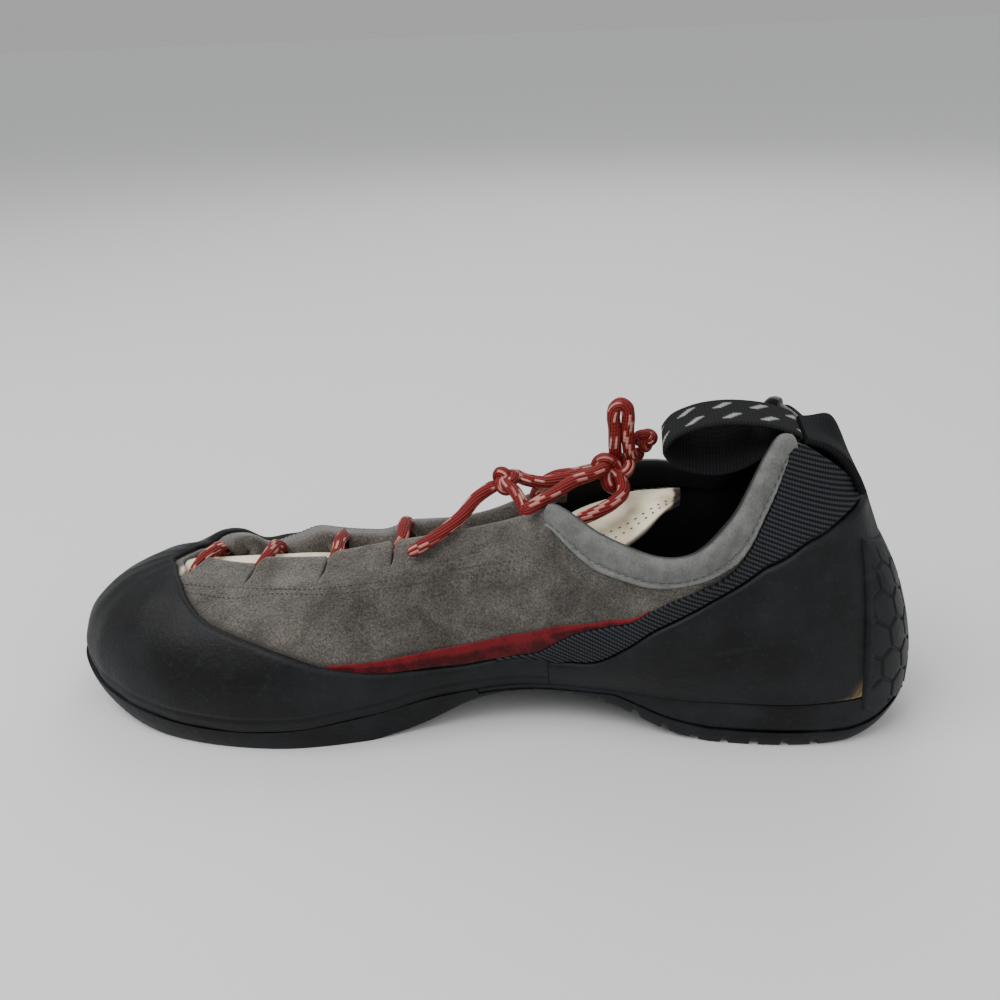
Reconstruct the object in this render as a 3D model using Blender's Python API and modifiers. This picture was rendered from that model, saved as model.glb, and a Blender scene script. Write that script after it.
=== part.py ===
# Right approach shoe. Metres, +Z up, toe towards -X, medial side towards -Y, resting on Z = 0.
import bmesh
import bpy
import numpy as np

# Driving dimensions of the shoe
shoe_length = 0.273
ball_width = 0.094
instep_height = 0.074
heel_stack = 0.0165

# Thickness of each layer, and the gap between neighbours
wall_thickness = 0.0020
rubber_thickness = 0.0018
wrap_thickness = 0.0026
elastic_thickness = 0.0012
strip_thickness = 0.0008
binding_thickness = 0.0010
tongue_thickness = 0.0022
insole_thickness = 0.0030
midsole_least = 0.0010
insole_play = 0.0010
gap = 0.0003
seam_gap = 0.0006
overlay_gap = 0.0005
layer_gap = 0.0006

# How far the upper's foot line stands in from the outsole's outline
toe_margin = 0.0042
heel_margin = 0.0056
side_margin = 0.0030

# Facets round the upper
ring_count = 64

# Outsole edge
edge_inset_side = 0.0016
edge_inset_toe = 0.0050
edge_inset_heel = 0.0045
top_inset_heel = 0.0010
midsole_front = 0.490
wrap_angle = 0.47
wrap_height = 0.70

# Tread slots
slot_width = 0.0020
slot_depth = 0.0018
heel_slot_pitch = 0.0090
ball_slot_pitch = 0.0100
ball_slot_length = 0.056

# Lace tabs: folded suede tubes along the throat
tab_depth = 0.0077
tab_thickness = 0.0012
tab_foot = 0.788

# Webbing
webbing_width = 0.020
webbing_thickness = 0.0013
strap_thickness = 0.0024

# Lace
lace_radius = 0.0020
knot_radius = 0.0043

# Sole outline and foot line. Lengths along run from the heel as shares of the shoe's length, widths are
# shares of the ball width, and heights are shares of the heel stack.
# along, medial, lateral, height_medial, height_lateral
FOOT_LINE = (
    (0.000, 0.000, 0.000, 1.00, 1.00),
    (0.020, 0.165, 0.165, 0.98, 0.98),
    (0.060, 0.262, 0.265, 0.96, 0.96),
    (0.130, 0.312, 0.320, 0.95, 0.95),
    (0.240, 0.310, 0.335, 0.95, 0.95),
    (0.340, 0.275, 0.345, 0.95, 0.90),
    (0.440, 0.260, 0.375, 0.93, 0.80),
    (0.530, 0.310, 0.420, 0.80, 0.65),
    (0.620, 0.405, 0.465, 0.60, 0.52),
    (0.700, 0.460, 0.490, 0.46, 0.45),
    (0.780, 0.465, 0.480, 0.44, 0.45),
    (0.860, 0.425, 0.420, 0.52, 0.52),
    (0.930, 0.330, 0.310, 0.66, 0.66),
    (0.980, 0.195, 0.150, 0.80, 0.80),
    (1.000, 0.040, -0.040, 0.86, 0.86),
)

# Rim of the collar and throat: back is the share of the length from the heel, widths are shares of the ball
# width and heights are shares of the instep height. Edge is the share of the wall where the suede stops.
# along, back, medial, lateral, height_medial, height_lateral, edge
TOP_LINE = (
    (0.000, 0.085, 0.000, 0.000, 1.03, 1.03, 1.00),
    (0.020, 0.102, 0.080, 0.075, 1.10, 1.10, 1.00),
    (0.060, 0.138, 0.135, 0.120, 1.22, 1.23, 1.00),
    (0.100, 0.168, 0.165, 0.155, 1.275, 1.285, 1.00),
    (0.150, 0.187, 0.195, 0.185, 1.19, 1.18, 1.00),
    (0.200, 0.216, 0.250, 0.240, 0.97, 0.98, 1.00),
    (0.250, 0.253, 0.315, 0.280, 0.86, 0.92, 1.00),
    (0.300, 0.297, 0.325, 0.285, 0.845, 0.93, 1.00),
    (0.350, 0.352, 0.265, 0.240, 0.89, 0.94, 1.00),
    (0.410, 0.409, 0.200, 0.160, 0.985, 0.92, 1.00),
    (0.425, 0.420, 0.183, 0.148, 0.970, 0.905, 0.89),
    (0.440, 0.432, 0.165, 0.135, 0.945, 0.890, 0.78),
    (0.500, 0.480, 0.110, 0.100, 0.86, 0.82, 0.78),
    (0.600, 0.559, 0.080, 0.085, 0.76, 0.75, 0.78),
    (0.700, 0.638, 0.080, 0.085, 0.69, 0.70, 0.78),
    (0.800, 0.718, 0.080, 0.080, 0.645, 0.67, 0.78),
    (0.880, 0.782, 0.075, 0.070, 0.635, 0.67, 0.78),
    (0.925, 0.814, 0.067, 0.055, 0.635, 0.665, 0.785),
    (0.950, 0.831, 0.060, 0.040, 0.635, 0.66, 0.86),
    (1.000, 0.851, 0.015, -0.015, 0.65, 0.65, 0.90),
)

# How round each section is (0 straight, 1 a quarter ellipse), and its bulge as a share of the ball width.
# along, round, bulge_medial, bulge_lateral
FULLNESS = (
    (0.000, 0.00, 0.028, 0.028),
    (0.100, 0.00, 0.035, 0.035),
    (0.250, 0.00, 0.035, 0.045),
    (0.400, 0.15, 0.055, 0.060),
    (0.500, 0.55, 0.055, 0.050),
    (0.600, 0.80, 0.040, 0.040),
    (0.750, 0.90, 0.035, 0.035),
    (0.900, 0.95, 0.025, 0.025),
    (1.000, 0.95, 0.020, 0.020),
)

# Underside of the outsole and its thickness under the midsole, as shares of the heel stack.
# along, medial, lateral, thick
UNDERSIDE = (
    (0.000, 0.50, 0.50, 0.32),
    (0.020, 0.30, 0.30, 0.32),
    (0.050, 0.09, 0.09, 0.32),
    (0.080, 0.00, 0.00, 0.32),
    (0.230, 0.00, 0.00, 0.32),
    (0.280, 0.17, 0.04, 0.30),
    (0.340, 0.58, 0.17, 0.26),
    (0.400, 0.75, 0.30, 0.24),
    (0.450, 0.73, 0.33, 0.24),
    (0.500, 0.55, 0.26, 0.26),
    (0.550, 0.20, 0.12, 0.30),
    (0.610, 0.00, 0.00, 0.32),
    (0.860, 0.00, 0.00, 0.32),
    (0.910, 0.08, 0.08, 0.32),
    (0.950, 0.25, 0.25, 0.32),
    (0.980, 0.45, 0.45, 0.32),
    (1.000, 0.62, 0.62, 0.32),
)

# Edges of the overlays as shares of the wall's height.
# along, up
RAND_EDGE = (
    (0.400, 0.17),
    (0.435, 0.18),
    (0.513, 0.16),
    (0.591, 0.21),
    (0.663, 0.30),
    (0.719, 0.40),
    (0.790, 0.50),
    (0.841, 0.57),
    (0.874, 0.65),
    (0.907, 0.74),
    (0.962, 0.86),
    (1.000, 0.86),
)
CUP_EDGE = (
    (0.000, 0.94),
    (0.017, 0.86),
    (0.051, 0.73),
    (0.078, 0.66),
    (0.134, 0.60),
    (0.172, 0.63),
    (0.206, 0.67),
    (0.239, 0.68),
    (0.265, 0.63),
    (0.293, 0.53),
    (0.317, 0.38),
    (0.341, 0.26),
    (0.395, 0.13),
)
ELASTIC_TOP = (
    (0.000, 0.98),
    (0.050, 0.98),
    (0.088, 0.95),
    (0.123, 0.87),
    (0.153, 0.81),
    (0.175, 0.77),
    (0.206, 0.76),
    (0.242, 0.78),
    (0.281, 0.73),
    (0.313, 0.59),
    (0.340, 0.50),
    (0.370, 0.36),
)
STRIP_LOW = (
    (0.375, 0.39),
    (0.396, 0.30),
    (0.435, 0.21),
    (0.513, 0.18),
    (0.591, 0.23),
    (0.650, 0.30),
)
STRIP_HIGH = (
    (0.375, 0.45),
    (0.413, 0.36),
    (0.461, 0.32),
    (0.526, 0.30),
    (0.591, 0.315),
    (0.650, 0.345),
)
BINDING_LOW = (
    (0.092, 0.96),
    (0.123, 0.88),
    (0.153, 0.82),
    (0.175, 0.78),
    (0.192, 0.78),
    (0.224, 0.82),
    (0.254, 0.85),
    (0.313, 0.83),
    (0.366, 0.82),
    (0.388, 0.85),
    (0.408, 0.90),
)

RIM = ((0.000, 1.0), (1.000, 1.0))

# Lace tabs: where each starts and ends along the foot.
# start, end
MEDIAL_TABS = ((0.850, 0.925), (0.747, 0.822), (0.651, 0.717), (0.450, 0.622))
LATERAL_TABS = ((0.854, 0.925), (0.756, 0.826), (0.662, 0.728), (0.450, 0.631))

# Tongue: back is the share of the length from the heel, half_width a share of the ball width, and the
# heights of its middle and its edges are shares of the instep height.
# back, half_width, middle, edge
TONGUE = (
    (0.838, 0.080, 0.480, 0.455),
    (0.756, 0.145, 0.512, 0.460),
    (0.668, 0.155, 0.558, 0.495),
    (0.580, 0.160, 0.610, 0.530),
    (0.500, 0.160, 0.668, 0.585),
    (0.427, 0.170, 0.745, 0.665),
    (0.383, 0.190, 0.850, 0.705),
    (0.339, 0.181, 0.930, 0.795),
    (0.302, 0.128, 0.985, 0.930),
    (0.273, 0.053, 1.012, 1.010),
)

# Strap and pull loop, seen from the side: back as a share of the length, height as a share of the instep.
# back, height
STRAP_PATH = ((0.0720, 1.040), (0.0800, 1.095), (0.0980, 1.170), (0.1230, 1.218), (0.1440, 1.236))
LOOP_PATH = (
    (0.1500, 1.250),
    (0.1700, 1.285),
    (0.2000, 1.305),
    (0.2300, 1.305),
    (0.2600, 1.280),
    (0.2810, 1.235),
    (0.2880, 1.185),
    (0.2800, 1.140),
    (0.2560, 1.105),
    (0.2280, 1.100),
    (0.2040, 1.130),
    (0.1830, 1.185),
    (0.1660, 1.225),
)

# Lace through the tabs. Across is -1 in the medial tabs and 1 in the lateral ones, and rise is the height
# above the tabs' middle as a share of the instep height.
# along, across, rise
LACE_ROUTE = (
    (0.890, -1.00, 0.000),
    (0.910, -1.00, 0.000),
    (0.927, -1.00, 0.000),
    (0.940, -0.92, 0.022),
    (0.933, -0.60, 0.060),
    (0.922, -0.10, 0.078),
    (0.922, 0.40, 0.066),
    (0.930, 0.80, 0.036),
    (0.938, 0.97, 0.006),
    (0.922, 1.00, 0.000),
    (0.888, 1.00, 0.000),
    (0.860, 1.00, 0.000),
    (0.840, 0.93, 0.020),
    (0.828, 0.70, 0.066),
    (0.826, 0.25, 0.092),
    (0.823, -0.25, 0.088),
    (0.826, -0.70, 0.060),
    (0.832, -0.93, 0.022),
    (0.820, -1.00, 0.000),
    (0.783, -1.00, 0.000),
    (0.751, -1.00, 0.000),
    (0.731, -0.93, 0.023),
    (0.718, -0.65, 0.070),
    (0.720, -0.20, 0.098),
    (0.722, 0.25, 0.098),
    (0.728, 0.70, 0.072),
    (0.738, 0.93, 0.025),
    (0.726, 1.00, 0.000),
    (0.695, 1.00, 0.000),
    (0.668, 1.00, 0.000),
    (0.648, 0.93, 0.023),
    (0.635, 0.70, 0.075),
    (0.632, 0.25, 0.103),
    (0.626, -0.25, 0.103),
    (0.624, -0.70, 0.075),
    (0.634, -0.93, 0.022),
    (0.620, -1.00, 0.000),
    (0.600, -1.00, 0.000),
)

# Loose cord beyond the tabs, in millimetres
CORD_ROUTES = {
    "lace_end_low": ((5.6, -2.2, 72.2), (1.5, -5.0, 69.6), (-2.5, -8.5, 65.4), (-10, -13, 60.4), (-18.8, -16.4, 55.6)),
    "lace_run": ((15.4, -1.0, 74.2), (20.5, -0.5, 73.4), (28, -0.5, 75.0), (36.0, -0.8, 76.8)),
    "lace_end_front": ((37.8, -5.4, 79.3), (32, -9.6, 78.4), (26, -13.4, 75.6), (16.8, -18.8, 71.8)),
    "lace_loop": (
        (43.8, -1, 85.4),
        (42.4, -1, 92),
        (41.9, -1, 97),
        (42.7, -1, 100),
        (44.4, -1, 101.2),
        (46.2, -1, 100),
        (47.1, -1, 97),
        (47.6, -1, 92),
        (48.8, -1, 86),
    ),
    "lace_strand_back": ((49.4, 3.4, 79.6), (51.3, 4.4, 81.8)),
    "lace_end_top": ((46.7, -7.0, 74.0), (43.1, -11, 71.8), (38.1, -13.5, 69.6), (32.6, -15, 67.6)),
}

# Knots: x, y and z of the middle in millimetres, and the size as a share of the knot's radius
KNOTS = {
    "lace_knot_front": (10.4, -1.2, 74.4, 1.00),
    "lace_knot_main": (43.0, -1.0, 78.0, 1.50),
    "lace_knot_back": (52.6, 4.6, 86.4, 0.84),
}


def smooth(knots, values, at):
    """Values at these places on a cubic through the knots, with slopes from their neighbours."""
    slopes = np.gradient(values, knots)
    i = np.clip(np.searchsorted(knots, at, side="right") - 1, 0, len(knots) - 2)
    step = knots[i + 1] - knots[i]
    s = np.clip((at - knots[i]) / step, 0, 1)
    rise = values[i] * (1 + 2 * s) * (1 - s) ** 2 + values[i + 1] * s**2 * (3 - 2 * s)
    return rise + step * s * (1 - s) * (slopes[i] * (1 - s) - slopes[i + 1] * s)


def angle_of(along):
    """Angle round the shoe, from the heel over the medial side to the toe, of a share of its length."""
    return np.arccos(1 - 2 * np.asarray(along, float))


def ring(table, medial, lateral, angle):
    """A table's medial and lateral columns as one closed curve round the shoe."""
    rows = np.array(table)
    there = angle_of(rows[:, 0])
    turn = 2 * np.pi
    knots = np.concatenate([there, turn - there[-2:0:-1]])
    values = np.concatenate([rows[:, medial], rows[-2:0:-1, lateral]])
    knots = np.concatenate([knots - turn, knots, knots + turn])
    return smooth(knots, np.tile(values, 3), angle)


def ring_out(table, medial, lateral, angle):
    """The same for distances from the middle line, which are negative on the medial side."""
    rows = np.array(table)
    rows[:, medial] *= -1
    return ring(rows, medial, lateral, angle)


def edge_at(table, angle):
    """Height of an overlay's edge, the same on both sides of the shoe."""
    rows = np.array(table)
    folded = np.pi - np.abs(np.pi - np.mod(angle, 2 * np.pi))
    return smooth(angle_of(rows[:, 0]), rows[:, 1], folded)


def outline(angle, toe, heel, side):
    """Plan outline of the sole, stood in by these margins."""
    x = (shoe_length - toe - heel) / 2 * np.cos(angle) + (toe - heel) / 2
    y = ball_width * ring_out(FOOT_LINE, 1, 2, angle) + side * np.sin(angle)
    return x, y


def outline_angle(x, toe, heel):
    """Angle at which an outline with these margins reaches a place along the shoe."""
    return np.arccos(np.clip((x - (toe - heel) / 2) / ((shoe_length - toe - heel) / 2), -1, 1))


def height_at(table, medial, lateral, x, y):
    """Height from a table's medial and lateral columns, blended smoothly across the shoe."""
    angle = outline_angle(x, 0.0, 0.0)
    near = outline(angle, 0.0, 0.0, 0.0)[1]
    far = outline(-angle, 0.0, 0.0, 0.0)[1]
    across = np.clip((y - near) / np.maximum(far - near, gap), 0, 1)
    share = across**2 * (3 - 2 * across)
    return heel_stack * (ring(table, medial, medial, angle) * (1 - share) + ring(table, lateral, lateral, angle) * share)


def foot_surface(x, y):
    """The surface on which the upper and the insole stand."""
    return height_at(FOOT_LINE, 3, 4, x, y)


def plain_wall(angle, up):
    """Outer face of the upper: an elliptical or straight rise from the foot line to the rim, with a bulge."""
    x, y = outline(angle, toe_margin, heel_margin, side_margin)
    z = foot_surface(x, y)
    rim_x = shoe_length * (0.5 - ring(TOP_LINE, 1, 1, angle))
    rim_y = ball_width * ring_out(TOP_LINE, 2, 3, angle)
    rim_z = instep_height * ring(TOP_LINE, 4, 5, angle)
    roundness = np.clip(ring(FULLNESS, 1, 1, angle), 0, 1)
    bulge = ball_width * ring(FULLNESS, 2, 3, angle) * 6.75 * up * (1 - up) ** 2
    inward = (1 - roundness) * up + roundness * (1 - np.cos(up * np.pi / 2))
    upward = (1 - roundness) * up + roundness * np.sin(up * np.pi / 2)
    step = 0.001
    x_after, y_after = outline(angle + step, toe_margin, heel_margin, side_margin)
    x_before, y_before = outline(angle - step, toe_margin, heel_margin, side_margin)
    run = np.hypot(x_after - x_before, y_after - y_before)
    out_x = (y_before - y_after) / run
    out_y = (x_after - x_before) / run
    return np.stack(
        [
            x + (rim_x - x) * inward + out_x * bulge,
            y + (rim_y - y) * inward + out_y * bulge,
            z + (rim_z - z) * upward,
        ],
        axis=-1,
    )


def wall(angle, up, offset):
    """A point at this angle and share up the wall, stood off its outer face."""
    angle, up, offset = np.broadcast_arrays(angle, up, offset)
    step = 0.002
    low = np.clip(up - step, 0, 1)
    high = np.clip(up + step, 0, 1)
    rising = plain_wall(angle, high) - plain_wall(angle, low)
    across = plain_wall(angle + step, up) - plain_wall(angle - step, up)
    normal = np.cross(rising, across)
    normal /= np.linalg.norm(normal, axis=-1, keepdims=True)
    return plain_wall(angle, up) + normal * offset[..., None]


def new_material(name, colour, roughness, metallic=0.0):
    material = bpy.data.materials.new(name)
    material.use_nodes = True
    shader = material.node_tree.nodes["Principled BSDF"]
    shader.inputs["Base Color"].default_value = (*colour, 1.0)
    shader.inputs["Roughness"].default_value = roughness
    shader.inputs["Metallic"].default_value = metallic
    return material


def add_object(name, data, material, collection):
    obj = bpy.data.objects.new(name, data)
    data.materials.append(material)
    collection.objects.link(obj)
    return obj


def mesh_from(name, points, faces, closed):
    mesh = bpy.data.meshes.new(name)
    mesh.from_pydata([tuple(p) for p in points.reshape(-1, 3)], [], faces)
    if closed:
        bm = bmesh.new()
        bm.from_mesh(mesh)
        bmesh.ops.recalc_face_normals(bm, faces=bm.faces)
        bm.to_mesh(mesh)
        bm.free()
    mesh.shade_smooth()
    return mesh


def grid_faces(rows, columns, closed_rows=False, closed_columns=False):
    """Quads of a grid whose points run along each row in turn."""
    faces = []
    for i in range(rows if closed_rows else rows - 1):
        for j in range(columns if closed_columns else columns - 1):
            k, n = (i + 1) % rows, (j + 1) % columns
            faces.append((i * columns + j, i * columns + n, k * columns + n, k * columns + j))
    return faces


def add_shell(name, grid, thickness, outward, material, collection, closed=False, tube=False):
    """A grid of points given a thickness, either outwards or inwards."""
    rows, columns = grid.shape[:2]
    mesh = mesh_from(name, grid, grid_faces(rows, columns, closed, tube), False)
    obj = add_object(name, mesh, material, collection)
    solidify = obj.modifiers.new("Thickness", "SOLIDIFY")
    solidify.thickness = thickness
    solidify.offset = 1.0 if outward else -1.0
    mesh.set_sharp_from_angle(angle=np.radians(50))
    return obj


def add_loft(name, sections, material, collection):
    """A closed body through rings of points, capped at both ends."""
    rows, columns = sections.shape[:2]
    faces = grid_faces(rows, columns, False, True)
    faces.append(tuple(range(columns)))
    faces.append(tuple(range((rows - 1) * columns, rows * columns)))
    mesh = mesh_from(name, sections, faces, True)
    mesh.set_sharp_from_angle(angle=np.radians(40))
    return add_object(name, mesh, material, collection)


def ring_angles(start, end):
    """The upper's own angles between two others, so that neighbours share their facets."""
    step = 2 * np.pi / ring_count
    inner = np.arange(np.ceil(start / step + 0.2), np.floor(end / step - 0.2) + 1) * step
    return np.concatenate([[start], inner, [end]])


def add_panel(name, start, end, low, high, thickness, material, collection, rows):
    """An overlay between two edges of the wall, from one angle round to another."""
    angle = ring_angles(start, end)
    share = np.linspace(0, 1, rows)
    up = low(angle)[:, None] * (1 - share) + high(angle)[:, None] * share
    grid = wall(angle[:, None], up, overlay_gap)
    return add_shell(name, grid, thickness, True, material, collection)


def add_tube(name, route, radius, material, collection):
    """A round cord along a smooth curve through the route's points, with filled caps."""
    points = np.array(route, float)
    length = np.concatenate([[0], np.cumsum(np.linalg.norm(np.diff(points, axis=0), axis=1))])
    count = 2 * len(points) - 1
    at = np.interp(np.arange(count) / 2, np.arange(len(points)), length)
    path = np.stack([smooth(length, points[:, k], at) for k in range(3)], axis=1)
    curve = bpy.data.curves.new(name, "CURVE")
    curve.dimensions = "3D"
    curve.bevel_depth = radius
    curve.bevel_resolution = 1
    curve.use_fill_caps = True
    spline = curve.splines.new("POLY")
    spline.points.add(count - 1)
    for point, place in zip(spline.points, path):
        point.co = (*place, 1.0)
    return add_object(name, curve, material, collection)


def sole_stations(count):
    """Places of the cross-sections along the shoe, closer together towards toe and heel."""
    angles = np.linspace(0.0, np.pi, count)
    front = shoe_length * (0.5 - midsole_front)
    return np.unique(np.concatenate([shoe_length / 2 * np.cos(angles), (front, front - 3 * gap)]))


def underside(x, y):
    """Underside of the outsole, flat on the floor under heel and ball."""
    return np.maximum(0, height_at(UNDERSIDE, 1, 2, x, y))


def outsole_top(x, y):
    """Top of the outsole: a layer under the midsole, and up to the foot in front of it."""
    bottom = underside(x, y)
    foot = foot_surface(x, y)
    layer = height_at(UNDERSIDE, 3, 3, x, y)
    room = foot - bottom - layer_gap - gap - midsole_least
    behind = x > shoe_length * (0.5 - midsole_front) - gap
    return np.where(behind, bottom + np.minimum(layer, room), foot - gap)


def midsole_bottom(x, y):
    return outsole_top(x, y) + layer_gap


def midsole_top(x, y):
    return foot_surface(x, y) - gap


def insole_bottom(x, y):
    return foot_surface(x, y) + gap


def insole_top(x, y):
    return insole_bottom(x, y) + insole_thickness


def section(x, low, high, low_margins, high_margins, count):
    """One closed ring of a sole layer, across its underside and back over its top."""
    rings = []
    share = np.linspace(0, 1, count)
    for heights, (toe, heel, side), order in ((low, low_margins, share), (high, high_margins, share[::-1])):
        half = (shoe_length - toe - heel) / 2
        place = np.clip(x, (toe - heel) / 2 - 0.9995 * half, (toe - heel) / 2 + 0.9995 * half)
        angle = outline_angle(place, toe, heel)
        near = outline(angle, toe, heel, side)[1]
        far = outline(-angle, toe, heel, side)[1]
        y = near + (far - near) * order
        rings.append(np.stack([np.full(count, place), y, heights(place, y)], axis=1))
    return np.concatenate(rings)


def add_layer(name, stations, low, high, low_margins, high_margins, count, material, parts):
    rings = [section(x, low, high, low_margins, high_margins, count) for x in stations]
    return add_loft(name, np.array(rings), material, parts)


def add_slots(outsole, material, cutters):
    """Grooves of the tread: right across the heel, and short ones under the ball."""
    heel = [shoe_length * (0.5 - 0.115) - i * heel_slot_pitch for i in range(7)]
    ball = [shoe_length * (0.5 - 0.640) - i * ball_slot_pitch for i in range(6)]
    for places, length in ((heel, ball_width), (ball, ball_slot_length)):
        for i, x in enumerate(places):
            height = float(underside(x, 0.0))
            bm = bmesh.new()
            bmesh.ops.create_cube(bm, size=1.0)
            bmesh.ops.scale(bm, vec=(slot_width, length, 2 * slot_depth), verts=bm.verts)
            bmesh.ops.translate(bm, vec=(x, 0.0, height), verts=bm.verts)
            mesh = bpy.data.meshes.new(f"slot_{i}")
            bm.to_mesh(mesh)
            bm.free()
            cut(outsole, add_object(f"slot_{i}", mesh, material, cutters), "DIFFERENCE")


def cut(obj, other, operation):
    other.hide_render = True
    other.display_type = "WIRE"
    modifier = obj.modifiers.new(other.name, "BOOLEAN")
    modifier.operation = operation
    modifier.solver = "EXACT"
    modifier.object = other


def add_outsole(material, parts, cutters):
    """Outsole with its tread, wrapped up the back of the heel."""
    low_margins = (edge_inset_toe, edge_inset_heel + top_inset_heel, edge_inset_side)
    high_margins = (0.0, top_inset_heel, 0.0)
    outsole = add_layer("outsole", sole_stations(28), underside, outsole_top, low_margins, high_margins, 9,
                        material, parts)
    angle = np.linspace(-wrap_angle, wrap_angle, 9)
    up = np.linspace(-0.10, wrap_height, 9)
    width = 1.0 - 0.5 * np.clip(up, 0, 1) ** 1.5
    grid = wall(angle[:, None] * width, np.maximum(up, 0.0), gap + overlay_gap + rubber_thickness)
    grid[:, up < 0, 2] += 4 * heel_stack * up[up < 0]
    wrap = add_shell("heel_wrap", grid, wrap_thickness, True, material, cutters)
    cut(outsole, wrap, "UNION")
    add_slots(outsole, material, cutters)
    return outsole


def add_midsole(material, parts):
    """Wedge between outsole and upper, from the heel to the waist."""
    inset = overlay_gap + rubber_thickness
    margins = (0.0, heel_margin - inset + seam_gap, side_margin - inset)
    front = shoe_length * (0.5 - midsole_front)
    stations = [x for x in sole_stations(28) if x > front - gap / 2]
    return add_layer("midsole", stations, midsole_bottom, midsole_top, margins, margins, 9, material, parts)


def add_insole(material, parts):
    """Footbed inside the upper."""
    inset = wall_thickness + insole_play
    margins = (toe_margin + inset, heel_margin + inset, side_margin + inset)
    stations = sole_stations(28)[1:-1]
    return add_layer("insole", stations, insole_bottom, insole_top, margins, margins, 5, material, parts)


def add_upper(material, parts):
    """One hollow shell from the foot line to the collar and to the throat's stitched edge."""
    angle = np.linspace(0, 2 * np.pi, ring_count + 1)[:-1]
    share = np.linspace(0, 1, 9)
    edge = np.clip(ring(TOP_LINE, 6, 6, angle), 0, 1)
    grid = wall(angle[:, None], edge[:, None] * share, 0.0)
    return add_shell("upper", grid, wall_thickness, False, material, parts, closed=True)


def constant(value):
    return lambda angle: np.full(np.shape(angle), value)


def add_overlays(materials, parts):
    """Rand, heel cup, elastic, red strips and collar binding, each between two edges of the wall."""
    foot = constant(0.02)
    back, front = angle_of(0.398), angle_of(0.408)
    rubber = materials["rubber"]
    turn = 2 * np.pi
    rand_edge, cup_edge = (lambda a: edge_at(RAND_EDGE, a)), (lambda a: edge_at(CUP_EDGE, a))
    add_panel("toe_rand", front, turn - front, foot, rand_edge, rubber_thickness, rubber, parts, 8)
    add_panel("heel_cup", -back, back, foot, cup_edge, rubber_thickness, rubber, parts, 8)
    share = seam_gap / instep_height
    both_sides = (
        ("heel_elastic", 0.0006, 0.365, CUP_EDGE, ELASTIC_TOP, elastic_thickness, materials["elastic"], 4),
        ("side_strip", 0.378, 0.648, STRIP_LOW, STRIP_HIGH, strip_thickness, materials["red suede"], 2),
        ("collar_binding", 0.094, 0.406, BINDING_LOW, RIM, binding_thickness, materials["binding"], 3),
    )
    for name, start, end, low, high, thickness, material, rows in both_sides:
        for side in ("medial", "lateral"):
            ends = angle_of((start, end))
            if side == "lateral":
                ends = turn - ends[::-1]
            add_panel(f"{name}_{side}", *ends, lambda a, low=low: edge_at(low, a) + share,
                      lambda a, high=high: edge_at(high, a), thickness, material, parts, rows)


def tab_section(angle):
    """Closed flat loop of one lace tab, from its stitched foot over the rim and back underneath."""
    turn = np.linspace(0, 2 * np.pi, 9)[:-1]
    middle = (1 + tab_foot) / 2
    half = (1 - tab_foot) / 2
    up = middle - half * np.cos(turn)
    depth = tab_depth / 2 * (1 - np.sin(turn))
    return wall(angle, np.clip(up, 0, 1), -depth)


def add_tabs(material, parts):
    """Folded suede loops along both sides of the throat, open at their ends for the lace."""
    for side, tabs, sign in (("medial", MEDIAL_TABS, 1), ("lateral", LATERAL_TABS, -1)):
        for number, (start, end) in enumerate(tabs, 1):
            count = 3 + int((end - start) * 24)
            angles = np.linspace(angle_of(start), angle_of(end), count)
            rings = [tab_section(a if sign > 0 else -a) for a in angles]
            if sign < 0:
                rings = rings[::-1]
            add_shell(f"lace_tab_{side}_{number}", np.array(rings), tab_thickness, False, material, parts,
                      tube=True)


def add_tongue(material, parts):
    """Thin tongue under the throat, arched across, with its free end above the collar."""
    rows = np.array(TONGUE)[::-1]
    at = np.linspace(0, len(rows) - 1, 16)
    index = np.arange(len(rows), dtype=float)
    back, half, middle, edge = (smooth(index, rows[:, k], at) for k in range(4))
    across = np.linspace(-1, 1, 7)
    x = np.repeat(shoe_length * (0.5 - back)[:, None], 7, axis=1)
    y = ball_width * half[:, None] * across
    z = instep_height * (middle[:, None] + (edge - middle)[:, None] * across**2)
    grid = np.stack([x, y, z], axis=-1)
    return add_shell("tongue", grid[:, ::-1], tongue_thickness, False, material, parts)


def side_path(table, count, closed):
    """Points of a strap seen from the side, on a smooth curve through the table."""
    rows = np.array(table)
    if closed:
        rows = np.concatenate([rows[-3:], rows, rows[:4]])
    index = np.arange(len(rows), dtype=float)
    first, last = (3, len(rows) - 4) if closed else (0, len(rows) - 1)
    at = np.linspace(first, last, count + 1)[:-1] if closed else np.linspace(first, last, count)
    return shoe_length * (0.5 - smooth(index, rows[:, 0], at)), instep_height * smooth(index, rows[:, 1], at)


def add_webbing(material, parts):
    """Doubled strap up the back of the heel, and the loop that flops forward over the opening."""
    across = np.array([-0.5, 0.0, 0.5]) * webbing_width
    for name, table, count, thickness, closed in (
        ("pull_strap", STRAP_PATH, 10, strap_thickness, False),
        ("pull_loop", LOOP_PATH, 26, webbing_thickness, True),
    ):
        x, z = side_path(table, count, closed)
        grid = np.stack([np.stack([x, np.full(len(x), y), z], axis=1) for y in across], axis=1)
        add_shell(name, grid, thickness, True, material, parts, closed=closed)


def lace_point(along, across, rise):
    """A place on the lace's way through the tabs and over the tongue."""
    angle = angle_of(along)
    medial = wall(angle, (1 + tab_foot) / 2, -tab_depth / 2)
    lateral = wall(-angle, (1 + tab_foot) / 2, -tab_depth / 2)
    return (medial * (1 - across) + lateral * (1 + across)) / 2 + (0, 0, rise * instep_height)


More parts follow.
